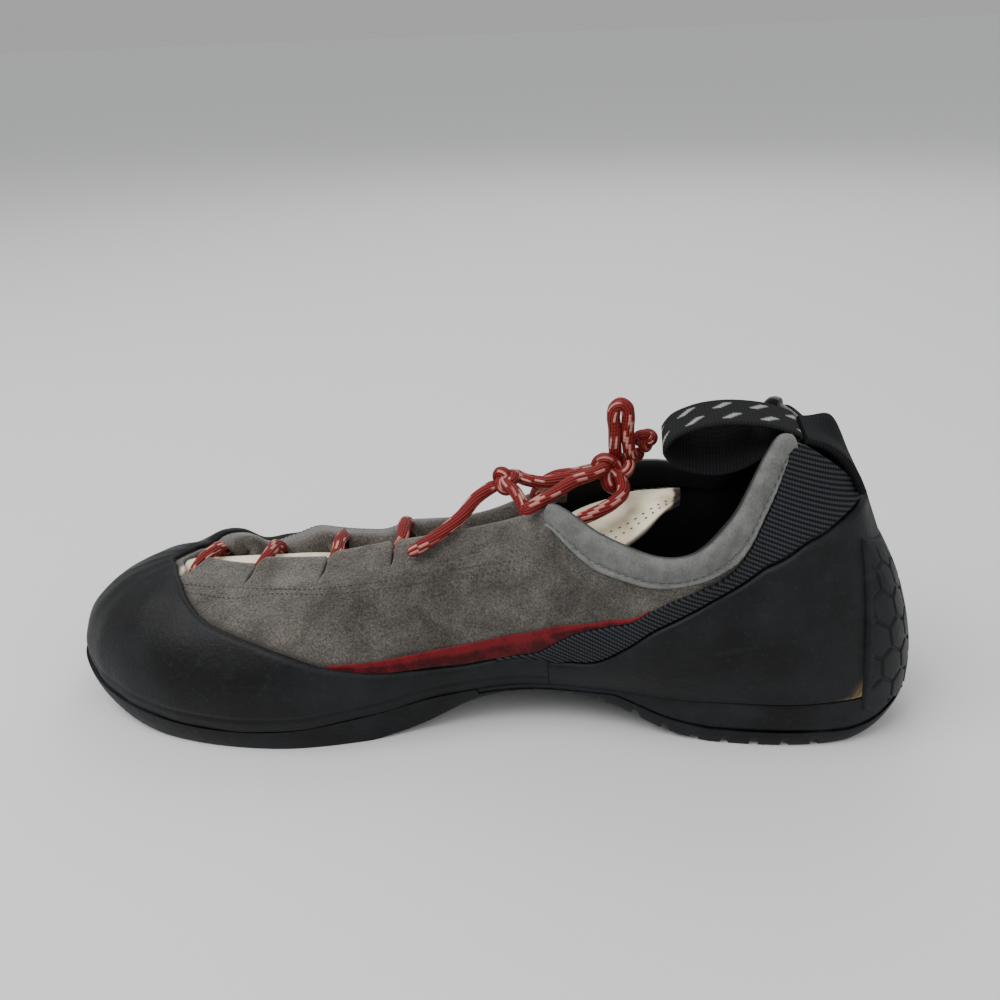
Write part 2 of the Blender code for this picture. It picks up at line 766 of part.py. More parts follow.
def add_laces(material, parts):
    """Lace run through the tabs and over the throat, then its knots, loop and cut ends."""
    run = [lace_point(*row) for row in LACE_ROUTE]
    add_tube("lace_crossings", run, lace_radius, material, parts)
    for name, route in CORD_ROUTES.items():
        add_tube(name, np.array(route) / 1000, lace_radius, material, parts)
    for name, (x, y, z, size) in KNOTS.items():
        bm = bmesh.new()
        bmesh.ops.create_uvsphere(bm, u_segments=10, v_segments=7, radius=knot_radius * size)
        bmesh.ops.translate(bm, vec=(x / 1000, y / 1000, z / 1000), verts=bm.verts)
        mesh = bpy.data.meshes.new(name)
        bm.to_mesh(mesh)
        bm.free()
        mesh.shade_smooth()
        add_object(name, mesh, material, parts)


def main():
    for obj in list(bpy.data.objects):
        bpy.data.objects.remove(obj, do_unlink=True)
    parts = bpy.data.collections.new("approach_shoe")
    cutters = bpy.data.collections.new("cutters")
    bpy.context.scene.collection.children.link(parts)
    bpy.context.scene.collection.children.link(cutters)
    materials = {
        "rubber": new_material("black rubber", (0.012, 0.013, 0.015), 0.55),
        "foam": new_material("black wedge rubber", (0.015, 0.015, 0.017), 0.70),
        "suede": new_material("grey suede", (0.140, 0.125, 0.105), 0.95),
        "red suede": new_material("red suede", (0.330, 0.020, 0.025), 0.90),
        "binding": new_material("grey suede tape", (0.200, 0.205, 0.200), 0.90),
        "leather": new_material("cream leather", (0.680, 0.610, 0.440), 0.75),
        "elastic": new_material("ribbed elastic", (0.008, 0.008, 0.010), 0.85),
        "webbing": new_material("black webbing", (0.012, 0.012, 0.014), 0.80),
        "cord": new_material("red cord", (0.420, 0.035, 0.030), 0.80),
        "lining": new_material("dark lining", (0.010, 0.010, 0.010), 0.95),
    }
    add_outsole(materials["rubber"], parts, cutters)
    add_midsole(materials["foam"], parts)
    add_insole(materials["lining"], parts)
    add_upper(materials["suede"], parts)
    add_overlays(materials, parts)
    add_tabs(materials["suede"], parts)
    add_tongue(materials["leather"], parts)
    add_webbing(materials["webbing"], parts)
    add_laces(materials["cord"], parts)


main()
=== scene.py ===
import math

import bpy
import numpy as np
from mathutils import Matrix, Vector


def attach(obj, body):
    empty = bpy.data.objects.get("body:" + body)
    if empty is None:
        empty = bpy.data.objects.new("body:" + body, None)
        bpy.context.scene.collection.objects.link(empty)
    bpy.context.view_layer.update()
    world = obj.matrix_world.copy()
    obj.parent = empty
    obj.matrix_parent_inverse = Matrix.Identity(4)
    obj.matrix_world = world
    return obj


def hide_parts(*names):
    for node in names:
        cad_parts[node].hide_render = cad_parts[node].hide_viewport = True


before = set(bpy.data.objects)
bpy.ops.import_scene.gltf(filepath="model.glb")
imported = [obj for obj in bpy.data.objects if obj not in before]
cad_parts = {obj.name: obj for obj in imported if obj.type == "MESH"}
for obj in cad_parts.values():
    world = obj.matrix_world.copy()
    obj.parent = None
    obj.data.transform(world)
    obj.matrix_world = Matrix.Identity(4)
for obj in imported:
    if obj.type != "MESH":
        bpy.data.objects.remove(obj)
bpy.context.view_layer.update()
print("frame loaded:", len(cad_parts), "solids")

shoe = {
    "length": 0.273,
    "ballWidth": 0.094,
    "instepHeight": 0.074,
    "heelStack": 0.0165,
    "toeMargin": 0.0042,
    "heelMargin": 0.0056,
    "sideMargin": 0.0030,
    "overlayGap": 0.0005,
}

# along, medial, lateral, heightMedial, heightLateral
footLine = np.array([
    (0.000, 0.000, 0.000, 1.00, 1.00), (0.020, 0.165, 0.165, 0.98, 0.98), (0.060, 0.262, 0.265, 0.96, 0.96),
    (0.130, 0.312, 0.320, 0.95, 0.95), (0.240, 0.310, 0.335, 0.95, 0.95), (0.340, 0.275, 0.345, 0.95, 0.90),
    (0.440, 0.260, 0.375, 0.93, 0.80), (0.530, 0.310, 0.420, 0.80, 0.65), (0.620, 0.405, 0.465, 0.60, 0.52),
    (0.700, 0.460, 0.490, 0.46, 0.45), (0.780, 0.465, 0.480, 0.44, 0.45), (0.860, 0.425, 0.420, 0.52, 0.52),
    (0.930, 0.330, 0.310, 0.66, 0.66), (0.980, 0.195, 0.150, 0.80, 0.80), (1.000, 0.040, -0.040, 0.86, 0.86),
])

# along, back, medial, lateral, heightMedial, heightLateral, suedeEdge
topLine = np.array([
    (0.000, 0.085, 0.000, 0.000, 1.03, 1.03, 1.00), (0.020, 0.102, 0.080, 0.075, 1.10, 1.10, 1.00),
    (0.060, 0.138, 0.135, 0.120, 1.22, 1.23, 1.00), (0.100, 0.168, 0.165, 0.155, 1.275, 1.285, 1.00),
    (0.150, 0.187, 0.195, 0.185, 1.19, 1.18, 1.00), (0.200, 0.216, 0.250, 0.240, 0.97, 0.98, 1.00),
    (0.250, 0.253, 0.315, 0.280, 0.86, 0.92, 1.00), (0.300, 0.297, 0.325, 0.285, 0.845, 0.93, 1.00),
    (0.350, 0.352, 0.265, 0.240, 0.89, 0.94, 1.00), (0.410, 0.409, 0.200, 0.160, 0.985, 0.92, 1.00),
    (0.425, 0.420, 0.183, 0.148, 0.970, 0.905, 1.00), (0.440, 0.432, 0.165, 0.135, 0.945, 0.890, 0.92),
    (0.500, 0.480, 0.110, 0.100, 0.86, 0.81, 0.78), (0.600, 0.559, 0.080, 0.085, 0.76, 0.73, 0.78),
    (0.700, 0.638, 0.080, 0.085, 0.69, 0.67, 0.78), (0.800, 0.718, 0.080, 0.080, 0.645, 0.635, 0.78),
    (0.880, 0.782, 0.075, 0.070, 0.635, 0.615, 0.78), (0.925, 0.812, 0.067, 0.055, 0.625, 0.595, 0.785),
    (0.950, 0.825, 0.060, 0.040, 0.610, 0.59, 0.86), (1.000, 0.840, 0.015, -0.015, 0.592, 0.592, 0.90),
])

# along, round, bulgeMedial, bulgeLateral
fullness = np.array([
    (0.000, 0.00, 0.028, 0.028), (0.100, 0.00, 0.035, 0.035), (0.250, 0.00, 0.035, 0.045),
    (0.400, 0.15, 0.055, 0.060), (0.500, 0.55, 0.055, 0.050), (0.600, 0.80, 0.040, 0.040),
    (0.750, 0.90, 0.035, 0.035), (0.900, 0.95, 0.025, 0.025), (1.000, 0.95, 0.020, 0.020),
])

# along, medial, lateral, thick
undersideRows = np.array([
    (0.000, 0.50, 0.50, 0.32), (0.020, 0.30, 0.30, 0.32), (0.050, 0.09, 0.09, 0.32), (0.080, 0.00, 0.00, 0.32),
    (0.230, 0.00, 0.00, 0.32), (0.280, 0.17, 0.04, 0.30), (0.340, 0.58, 0.17, 0.26), (0.400, 0.75, 0.30, 0.24),
    (0.450, 0.73, 0.33, 0.24), (0.500, 0.55, 0.26, 0.26), (0.550, 0.20, 0.12, 0.30), (0.610, 0.00, 0.00, 0.32),
    (0.860, 0.00, 0.00, 0.32), (0.910, 0.08, 0.08, 0.32), (0.950, 0.25, 0.25, 0.32), (0.980, 0.45, 0.45, 0.32),
    (1.000, 0.62, 0.62, 0.32),
])

# Edges of the overlays: along, share of the wall's height
edges = {
    "rand": ((0.400, 0.17), (0.435, 0.18), (0.513, 0.16), (0.591, 0.21), (0.663, 0.30), (0.719, 0.40),
             (0.790, 0.50), (0.841, 0.57), (0.874, 0.65), (0.907, 0.74), (0.962, 0.86), (1.000, 0.86)),
    "cup": ((0.000, 0.94), (0.017, 0.86), (0.051, 0.73), (0.078, 0.66), (0.134, 0.60), (0.172, 0.63),
            (0.206, 0.67), (0.239, 0.68), (0.265, 0.63), (0.293, 0.53), (0.317, 0.38), (0.341, 0.26), (0.395, 0.168)),
    "elasticTop": ((0.000, 0.99), (0.050, 0.995), (0.085, 0.99), (0.100, 0.955), (0.123, 0.88), (0.153, 0.81),
                   (0.175, 0.77), (0.206, 0.76),
                   (0.242, 0.79), (0.281, 0.735), (0.300, 0.655), (0.316, 0.562), (0.330, 0.520), (0.368, 0.396),
                   (0.392, 0.295), (0.411, 0.225), (0.450, 0.190), (0.490, 0.175)),
    "stripLow": ((0.296, 0.672), (0.316, 0.572), (0.330, 0.530), (0.368, 0.405), (0.392, 0.303), (0.411, 0.235),
                 (0.450, 0.197), (0.494, 0.180), (0.540, 0.190), (0.593, 0.218), (0.668, 0.306)),
    "stripHigh": ((0.296, 0.690), (0.316, 0.592), (0.330, 0.558), (0.370, 0.440), (0.414, 0.338), (0.464, 0.296),
                  (0.525, 0.272), (0.565, 0.274), (0.593, 0.278), (0.640, 0.300), (0.668, 0.320)),
    "bindingLow": ((0.092, 0.96), (0.123, 0.88), (0.153, 0.82), (0.175, 0.78), (0.192, 0.78), (0.224, 0.82),
                   (0.254, 0.85), (0.313, 0.83), (0.366, 0.82), (0.388, 0.85), (0.408, 0.90)),
}


# The lateral rim is drawn down where the lace crosses and stands up between: along, rise beside the instep height
rimPuffs = np.array([
    (0.560, 0.000), (0.600, 0.008), (0.630, 0.010), (0.660, -0.028), (0.700, -0.020), (0.742, 0.000), (0.762, 0.013),
    (0.800, -0.020), (0.840, -0.044), (0.872, 0.014), (0.900, 0.022), (0.930, -0.010), (0.960, 0.000),
])


def smooth(knots, values, at):
    # Cubic through the knots; each knot's slope comes from its two neighbours.
    slopes = np.gradient(values, knots)
    i = np.clip(np.searchsorted(knots, at, side="right") - 1, 0, len(knots) - 2)
    step = knots[i + 1] - knots[i]
    s = np.clip((at - knots[i]) / step, 0, 1)
    rise = values[i] * (1 + 2 * s) * (1 - s) ** 2 + values[i + 1] * s**2 * (3 - 2 * s)
    return rise + step * s * (1 - s) * (slopes[i] * (1 - s) - slopes[i + 1] * s)


def fade(low, high, x):
    # Smooth step from 0 at low to 1 at high.
    s = np.clip((x - low) / (high - low), 0, 1)
    return s * s * (3 - 2 * s)


def unit(vectors):
    return vectors / np.linalg.norm(vectors, axis=-1, keepdims=True)


def eased(count):
    # Steps from 0 to 1, close together at both ends.
    return 0.5 - 0.5 * np.cos(np.linspace(0, np.pi, count))


def angleOf(along):
    return np.arccos(1 - 2 * np.asarray(along, float))  # heel is 0, medial side 90 degrees, toe 180


def alongOf(angle):
    return (1 - np.cos(angle)) / 2


def ring(rows, medial, lateral, angle):
    # The medial and lateral columns as one closed curve round the shoe.
    there = angleOf(rows[:, 0])
    knots = np.concatenate([there, 2 * np.pi - there[-2:0:-1]])
    values = np.concatenate([rows[:, medial], rows[-2:0:-1, lateral]])
    knots = np.concatenate([knots - 2 * np.pi, knots, knots + 2 * np.pi])
    return smooth(knots, np.tile(values, 3), angle)


def ringOut(rows, medial, lateral, angle):
    # The same for distances from the middle line, negative on the medial side.
    rows = rows.copy()
    rows[:, medial] *= -1
    return ring(rows, medial, lateral, angle)


def edgeAt(name, angle):
    rows = np.array(edges[name])
    folded = np.pi - np.abs(np.pi - np.mod(angle, 2 * np.pi))
    return smooth(angleOf(rows[:, 0]), rows[:, 1], folded)


def outline(angle, toe, heel, side):
    # Ellipse-like plan of the sole stood in by three margins.
    x = (shoe["length"] - toe - heel) / 2 * np.cos(angle) + (toe - heel) / 2
    y = shoe["ballWidth"] * ringOut(footLine, 1, 2, angle) + side * np.sin(angle)
    return x, y


def outlineAngle(x, toe, heel):
    half = (shoe["length"] - toe - heel) / 2
    return np.arccos(np.clip((x - (toe - heel) / 2) / half, -1, 1))


def heightAt(rows, medial, lateral, x, y):
    # Height from the two columns, blended by a smooth step across the shoe.
    angle = outlineAngle(x, 0, 0)
    near, far = outline(angle, 0, 0, 0)[1], outline(-angle, 0, 0, 0)[1]
    share = fade(0, 1, (y - near) / np.maximum(far - near, 0.0003))
    near, far = ring(rows, medial, medial, angle), ring(rows, lateral, lateral, angle)
    return shoe["heelStack"] * (near * (1 - share) + far * share)


def footSurface(x, y):
    return heightAt(footLine, 3, 4, x, y)


def plainWall(angle, up):
    # From the foot line to the rim: a straight rise mixed with a quarter ellipse, plus a low bulge.
    margins = shoe["toeMargin"], shoe["heelMargin"], shoe["sideMargin"]
    x, y = outline(angle, *margins)
    z = footSurface(x, y)
    rimX = shoe["length"] * (0.5 - ring(topLine, 1, 1, angle))
    rimY = shoe["ballWidth"] * ringOut(topLine, 2, 3, angle)
    puff = smooth(rimPuffs[:, 0], rimPuffs[:, 1], np.clip(alongOf(angle), 0.56, 0.96)) * (np.sin(angle) < 0)
    rimZ = shoe["instepHeight"] * (ring(topLine, 4, 5, angle) + puff)
    roundness = np.clip(ring(fullness, 1, 1, angle), 0, 1)
    bulge = shoe["ballWidth"] * ring(fullness, 2, 3, angle) * 6.75 * up * (1 - up) ** 2
    inward = (1 - roundness) * up + roundness * (1 - np.cos(up * np.pi / 2))
    upward = (1 - roundness) * up + roundness * np.sin(up * np.pi / 2)
    ahead, behind = outline(angle + 0.001, *margins), outline(angle - 0.001, *margins)
    run = np.hypot(ahead[0] - behind[0], ahead[1] - behind[1])
    return np.stack([
        x + (rimX - x) * inward + (behind[1] - ahead[1]) / run * bulge,
        y + (rimY - y) * inward + (ahead[0] - behind[0]) / run * bulge,
        z + (rimZ - z) * upward,
    ], axis=-1)


def wallNormal(angle, up):
    # Cross product of the wall's two tangents, pointing out of the shoe.
    rising = plainWall(angle, np.clip(up + 0.002, 0, 1)) - plainWall(angle, np.clip(up - 0.002, 0, 1))
    across = plainWall(angle + 0.002, up) - plainWall(angle - 0.002, up)
    return unit(np.cross(rising, across))


def wall(angle, up, lift):
    # A place on the wall, stood off along its normal.
    angle, up, lift = np.broadcast_arrays(angle, up, lift)
    return plainWall(angle, up) + wallNormal(angle, up) * lift[..., None]


def hexColour(code):
    # sRGB hex to linear, as the shaders take it.
    parts = np.array([int(code[i:i + 2], 16) / 255 for i in (0, 2, 4)])
    linear = np.where(parts <= 0.04045, parts / 12.92, ((parts + 0.055) / 1.055) ** 2.4)
    return (*[float(c) for c in linear], 1.0)


def node(tree, kind, inputs=None, output=0, **settings):
    # Adds one shader node, sets or links its inputs and gives back one output.
    made = tree.nodes.new("ShaderNode" + kind)
    for name, value in settings.items():
        setattr(made, name, value)
    for key, value in (inputs or {}).items():
        if isinstance(value, bpy.types.NodeSocket):
            tree.links.new(value, made.inputs[key])
        else:
            made.inputs[key].default_value = value
    return made.outputs[output]


def newMaterial(name, **sockets):
    # A Principled material with constants set straight on its sockets.
    made = bpy.data.materials.new(name)
    made.use_nodes = True
    shader = made.node_tree.nodes["Principled BSDF"]
    for key, value in sockets.items():
        shader.inputs[key.replace("_", " ")].default_value = value
    return made, made.node_tree, shader


def mix(tree, share, first, second, blend="MIX"):
    # Each colour is a hex code or a socket.
    first, second = (hexColour(c) if isinstance(c, str) else c for c in (first, second))
    return node(tree, "Mix", {0: share, 6: first, 7: second}, 2, data_type="RGBA", blend_type=blend)


def calc(tree, operation, *values, clamp=False):
    return node(tree, "Math", dict(enumerate(values)), operation=operation, use_clamp=clamp)


def remap(tree, value, low, high, toLow=0.0, toHigh=1.0):
    ends = {"From Min": low, "From Max": high, "To Min": toLow, "To Max": toHigh}
    return node(tree, "MapRange", {"Value": value, **ends})


def noise(tree, place, scale, detail, rough=0.5, distortion=0.0):
    sockets = {"Vector": place, "Scale": scale, "Detail": detail, "Roughness": rough, "Distortion": distortion}
    return node(tree, "TexNoise", sockets, "Fac")


def mark(tree, name):
    return node(tree, "Attribute", output="Fac", attribute_name=name)


def wave(tree, value, pitch):
    # Sine from 0 to 1, once in each pitch.
    turn = calc(tree, "MULTIPLY", value, 2 * math.pi / pitch)
    return remap(tree, calc(tree, "SINE", turn), -1.0, 1.0)


def split(tree, source):
    made = tree.nodes.new("ShaderNodeSeparateXYZ")
    tree.links.new(source, made.inputs[0])
    return made.outputs


def paint(tree, shader, colour, height, strength, distance, rough=None):
    # Colour and relief into the shader; distance is the relief's depth in metres.
    bump = node(tree, "Bump", {"Height": height, "Strength": strength, "Distance": distance}, "Normal")
    for socket, source in (("Base Color", colour), ("Normal", bump), ("Roughness", rough)):
        if source is not None:
            tree.links.new(source, shader.inputs[socket])


def finishPiece(piece, slot, *replaced):
    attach(piece, "root")
    if replaced:
        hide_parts(*replaced)
    return piece


def meshPiece(name, points, faces, materials, uv=None, marks=None, sharp=40):
    # Points (n, 3) and faces (quads as an array, or lists) become one smooth mesh.
    mesh = bpy.data.meshes.new(name)
    mesh.from_pydata(points.reshape(-1, 3).tolist(), [], faces)
    if uv is not None:
        layer = mesh.uv_layers.new(name="pattern")
        flat = np.zeros((len(mesh.loops), 2))
        flat[:len(uv)] = uv
        layer.data.foreach_set("uv", flat.ravel())
    for key, values in (marks or {}).items():
        mesh.attributes.new(key, "FLOAT", "POINT").data.foreach_set("value", np.ravel(values).astype(float))
    mesh.shade_smooth()
    mesh.set_sharp_from_angle(angle=math.radians(sharp))
    piece = bpy.data.objects.new(name, mesh)
    bpy.context.scene.collection.objects.link(piece)
    for material in materials:
        mesh.materials.append(material)
    return piece


def gridPiece(name, grid, materials, closedRows=False, closedColumns=False, caps=False, uv=None, marks=None, sharp=40):
    # A grid of points joined into quads. A closed direction wraps round; caps close the ends of a tube.
    # Faces turn over where the closed body would be inside out.
    rows, columns = grid.shape[:2]
    i, j = np.meshgrid(np.arange(rows - (not closedRows)), np.arange(columns - (not closedColumns)), indexing="ij")
    i, j = i.ravel(), j.ravel()
    k, n = (i + 1) % rows, (j + 1) % columns
    quads = np.stack([i * columns + j, i * columns + n, k * columns + n, k * columns + j], axis=1)
    loopUv = None
    if uv is not None:
        corners = [(i, j), (i, j + 1), (i + 1, j + 1), (i + 1, j)]
        loopUv = np.stack([np.stack([uv[0][a, b], uv[1][a, b]], axis=1) for a, b in corners], axis=1)
    flip = False
    if closedColumns or closedRows:
        p = grid.reshape(-1, 3)[quads]
        flip = np.sum(np.cross(p[:, 1] - p[:, 0], p[:, 3] - p[:, 0]) * p[:, 0]) < 0
    if flip:
        quads = quads[:, ::-1]
        loopUv = None if loopUv is None else loopUv[:, ::-1]
    faces = quads.tolist()
    if caps:
        first = list(range(columns))
        last = list(range((rows - 1) * columns, rows * columns))
        faces += [first, last[::-1]] if flip else [first[::-1], last]
    return meshPiece(name, grid, faces, materials, None if loopUv is None else loopUv.reshape(-1, 2), marks, sharp)


def bodyPiece(name, grid, material, sharp, marks=None):
    # A closed body whose sections are the grid's rows.
    return gridPiece(name, grid, [material], False, True, True, marks=marks, sharp=sharp)


def thicken(piece, name, thickness, inside=0):
    # Grows inward from the modelled face; inside is the material slot of the new faces.
    made = piece.modifiers.new(name, "SOLIDIFY")
    made.thickness = thickness
    made.offset = -1
    made.material_offset = inside


def arcLength(path):
    return np.concatenate([[0], np.cumsum(np.linalg.norm(np.diff(path, axis=0), axis=1))])


def curveThrough(points, count, closed=False):
    # Even steps along a smooth curve through these points.
    points = np.asarray(points, float)
    if closed:
        points = np.concatenate([points[-3:], points, points[:4]])
    length = arcLength(points)
    ends = (length[3], length[-4]) if closed else (0, length[-1])
    fine = np.linspace(*ends, 40 * len(points))
    path = np.stack([smooth(length, points[:, k], fine) for k in range(3)], axis=1)
    even = arcLength(path)
    at = np.linspace(0, even[-1], count + 1)[:-1] if closed else np.linspace(0, even[-1], count)
    return np.stack([np.interp(at, even, path[:, k]) for k in range(3)], axis=1)


def directions(path, closed):
    ahead = np.roll(path, -1, axis=0) - np.roll(path, 1, axis=0)
    if not closed:
        ahead[0], ahead[-1] = path[1] - path[0], path[-1] - path[-2]
    return unit(ahead)


def runAlong(path, closed):
    # Distances along the path for its UV, with one more where it closes.
    along = arcLength(path)
    return np.append(along, along[-1] + np.linalg.norm(path[0] - path[-1])) if closed else along


def tubePiece(name, path, radius, material, sides=16, closed=False):
    # A round profile carried along the path, square to it; the ends close to a rounded tip.
    ahead = directions(path, closed)
    flat = np.linalg.svd(path - path.mean(axis=0), full_matrices=False)[2][-1]
    side = unit(np.cross(ahead, flat))
    over = np.cross(side, ahead)
    width = np.full(len(path), radius)
    if not closed:
        along = arcLength(path)
        tip = np.clip(np.minimum(along, along[-1] - along) / (1.2 * width), 0.02, 1)
        width = width * np.sqrt(tip * (2 - tip))
    turn = np.linspace(0, 2 * np.pi, sides + 1)[:-1, None]
    around = side[:, None] * np.cos(turn) + over[:, None] * np.sin(turn)
    uv = np.meshgrid(np.linspace(0, 1, sides + 1), runAlong(path, closed))
    grid = path[:, None] + width[:, None, None] * around
    return gridPiece(name, grid, [material], closed, True, not closed, uv, sharp=60)


def stitchRow(name, path, normals, material, stitch, thread, share=0.72):
    # Short threads laid end to end: each is a bent six-sided tube that dips into the leather at both ends.
    length = arcLength(path)
    count = max(2, int(length[-1] / stitch))
    ribs = np.linspace(-0.5, 0.5, 5)
    at = (np.arange(count)[:, None] + 0.5 + ribs * share) * length[-1] / count
    place = np.stack([np.interp(at, length, path[:, k]) for k in range(3)], axis=-1)
    normal = np.stack([np.interp(at, length, normals[:, k]) for k in range(3)], axis=-1)
    normal = unit(normal)
    place = place + normal * (thread * (1.1 - 8 * ribs**2))[None, :, None]
    side = np.cross(unit(np.gradient(place, axis=1)), normal)
    turn = np.linspace(0, 2 * np.pi, 7)[:-1]
    around = side[:, :, None] * np.cos(turn)[:, None] + normal[:, :, None] * np.sin(turn)[:, None]
    points = place[:, :, None] + around * (thread * np.sqrt(1 - 3 * ribs**2))[None, :, None, None]
    i, j = np.meshgrid(np.arange(4), np.arange(6), indexing="ij")
    n = (j + 1) % 6
    quads = np.stack([i * 6 + j, i * 6 + n, (i + 1) * 6 + n, (i + 1) * 6 + j], axis=-1).reshape(-1, 4)
    sample = points[0].reshape(-1, 3)[quads]
    if np.sum(np.cross(sample[:, 1] - sample[:, 0], sample[:, 3] - sample[:, 0]) * (sample[:, 0] - place[0, 2])) < 0:
        quads = quads[:, ::-1]
        caps = [list(range(6)), list(range(29, 23, -1))]
    else:
        caps = [list(range(5, -1, -1)), list(range(24, 30))]
    starts = np.arange(count) * 30
    faces = (quads[None] + starts[:, None, None]).reshape(-1, 4).tolist()
    faces += [[int(start) + c for c in cap] for start in starts for cap in caps]
    return meshPiece(name, points, faces, [material])


def panelPiece(name, start, end, low, high, look, material, relief=None, stain=None):
    # An overlay on the wall between two edges. Its thickness falls to nothing along both edges as a
    # quarter ellipse, and the back closes it against the upper.
    base, (columns, rows), thick = shoe["overlayGap"], look["steps"], look["thickness"]
    lowEdge, highEdge = look["softEdges"]
    angle = np.linspace(start, end, columns)[:, None]
    share = eased(rows)
    lowUp, highUp = low(angle), high(angle)
    width = np.linalg.norm(plainWall(angle, highUp) - plainWall(angle, lowUp), axis=-1)
    soft = np.clip(np.where(share < 0.5, lowEdge, highEdge) * thick / width, 0.02, 1)
    edge = np.sqrt(1 - np.clip((np.abs(2 * share - 1) - (1 - soft)) / soft, 0, 0.999) ** 2)
    up = lowUp + (highUp - lowUp) * share
    body = np.full(up.shape, thick)
    if "taper" in look:
        run = np.minimum(np.arange(columns), np.arange(columns)[::-1])[:, None] / (columns - 1)
        ends = np.clip(run / look["taper"], 0.03, 1)
        body = body * np.sqrt(ends * (2 - ends))
    if relief is not None:
        body = body + relief(angle, up, width * share)
    outer = wall(angle, up, base + body * edge)
    back = np.linspace(1, 0, 10)[1:-1]
    inner = wall(angle, lowUp + (highUp - lowUp) * back, base - 0.0002)
    marks = {} if stain is None else stain(angle, up, share)
    marks = {key: np.concatenate([value, 0 * inner[..., 0]], axis=1) for key, value in marks.items()}
    return bodyPiece(name, np.concatenate([outer, inner], axis=1), material, 50, marks)


def sides(name, start, end):
    # The same stretch of the wall on the medial and on the lateral side, as angles.
    ends = angleOf((start, end))
    return ((name + "Medial", "medial", *ends), (name + "Lateral", "lateral", *(2 * np.pi - ends[::-1])))


# Camera: a phone's main lens, close to the shoe and looking down at it
cameraView = {"lens": 36, "place": (0.04731, -0.27913, 0.200), "turn": 8.0, "down": 25.26, "roll": 2.27}


def addCamera(view):
    turn, down, roll = (math.radians(view[key]) for key in ("turn", "down", "roll"))
    right = Vector((math.cos(turn), math.sin(turn), 0))
    level = Vector((-math.sin(turn), math.cos(turn), 0))
    look = level * math.cos(down) - Vector((0, 0, math.sin(down)))
    above = right.cross(look)
    rolledRight = right * math.cos(roll) - above * math.sin(roll)
    rolledAbove = right * math.sin(roll) + above * math.cos(roll)
    data = bpy.data.cameras.new("camera")
    data.lens = view["lens"]
    data.sensor_width = 36
    data.clip_start = 0.01
    camera = bpy.data.objects.new("camera", data)
    columns = Matrix((rolledRight, rolledAbove, -look)).transposed().to_4x4()
    camera.matrix_world = Matrix.Translation(view["place"]) @ columns
    bpy.context.scene.collection.objects.link(camera)
    bpy.context.scene.camera = camera


addCamera(cameraView)

# Light: one large soft box above the toe, a weaker one from the right, and a pale room
studio = {
    "floor": "d9dad8",
    "room": "eceeef",
    "horizon": "c6c7c6",
    "roomStrength": 0.75,
    # place, size in metres, watts
    "boxes": (((-0.55, -0.35, 1.00), 0.9, 12.5), ((0.75, -0.60, 0.70), 0.8, 3.0), ((0.1, 0.9, 0.9), 0.8, 4.5)),
}


def addStudio(look):
    # A wide matt floor, the lamps turned to the shoe, and a world that is darker low down.
    matt = newMaterial("matt painted floor", Base_Color=hexColour(look["floor"]), Roughness=0.8)[0]
    floor = bpy.data.meshes.new("floor")
    floor.from_pydata([(-40, -40, 0), (40, -40, 0), (40, 40, 0), (-40, 40, 0)], [], [(0, 1, 2, 3)])
    floor.materials.append(matt)
    plane = bpy.data.objects.new("floor", floor)
    bpy.context.scene.collection.objects.link(plane)
    world = bpy.data.worlds.new("room")
    world.use_nodes = True
    tree = world.node_tree
    high = remap(tree, split(tree, node(tree, "TexCoord", output="Generated"))[2], 0.05, 0.5)
    tree.links.new(mix(tree, high, look["horizon"], look["room"]), tree.nodes["Background"].inputs["Color"])
    tree.nodes["Background"].inputs["Strength"].default_value = look["roomStrength"]
    bpy.context.scene.world = world
    for number, (place, size, watts) in enumerate(look["boxes"]):
        data = bpy.data.lights.new(f"softBox{number}", "AREA")
        data.size = size
        data.energy = watts
        lamp = bpy.data.objects.new(f"softBox{number}", data)
        lamp.location = place
        lamp.rotation_euler = (Vector((0, 0, 0.04)) - Vector(place)).to_track_quat("-Z", "Y").to_euler()
        bpy.context.scene.collection.objects.link(lamp)


addStudio(studio)
print("camera and light placed")

# Materials. Pattern scales are cycles per metre, pitches are metres.
finish = {
    # The last suede colour goes where the shade mark is set. It is painted shade at the lace tabs' ends and under their
    # folds, and dirt with painted shade along the top edges of the rand and the heel cup.
    "suedeDark": "393530", "suedeLight": "5f5a53", "suedeDust": "9c968d", "suedeShadeAndDirt": "2c2925",
    "cream": "efe3c6", "creamShade": "b8aa88", "rawEdge": "1a110d",
    "tape": "777875", "tapeShade": "5c5d5a",
    "redFace": "36060a", "redFuzz": "6e161d",
    "rubber": "050506", "rubberDust": "26282e", "glue": "a98f5c",
    "elastic": "030304", "elasticRib": "3f4248",
    "webbing": "040405", "webbingRib": "101114", "webbingPale": "b9bab8",
    "cord": "8f1b17", "cordShade": "450908", "cordFleck": "cf948a",
    "lining": "0c0c0d",
    "thread": "3a3731", "threadPale": "7a7b79", "threadDark": "4a4230",
}


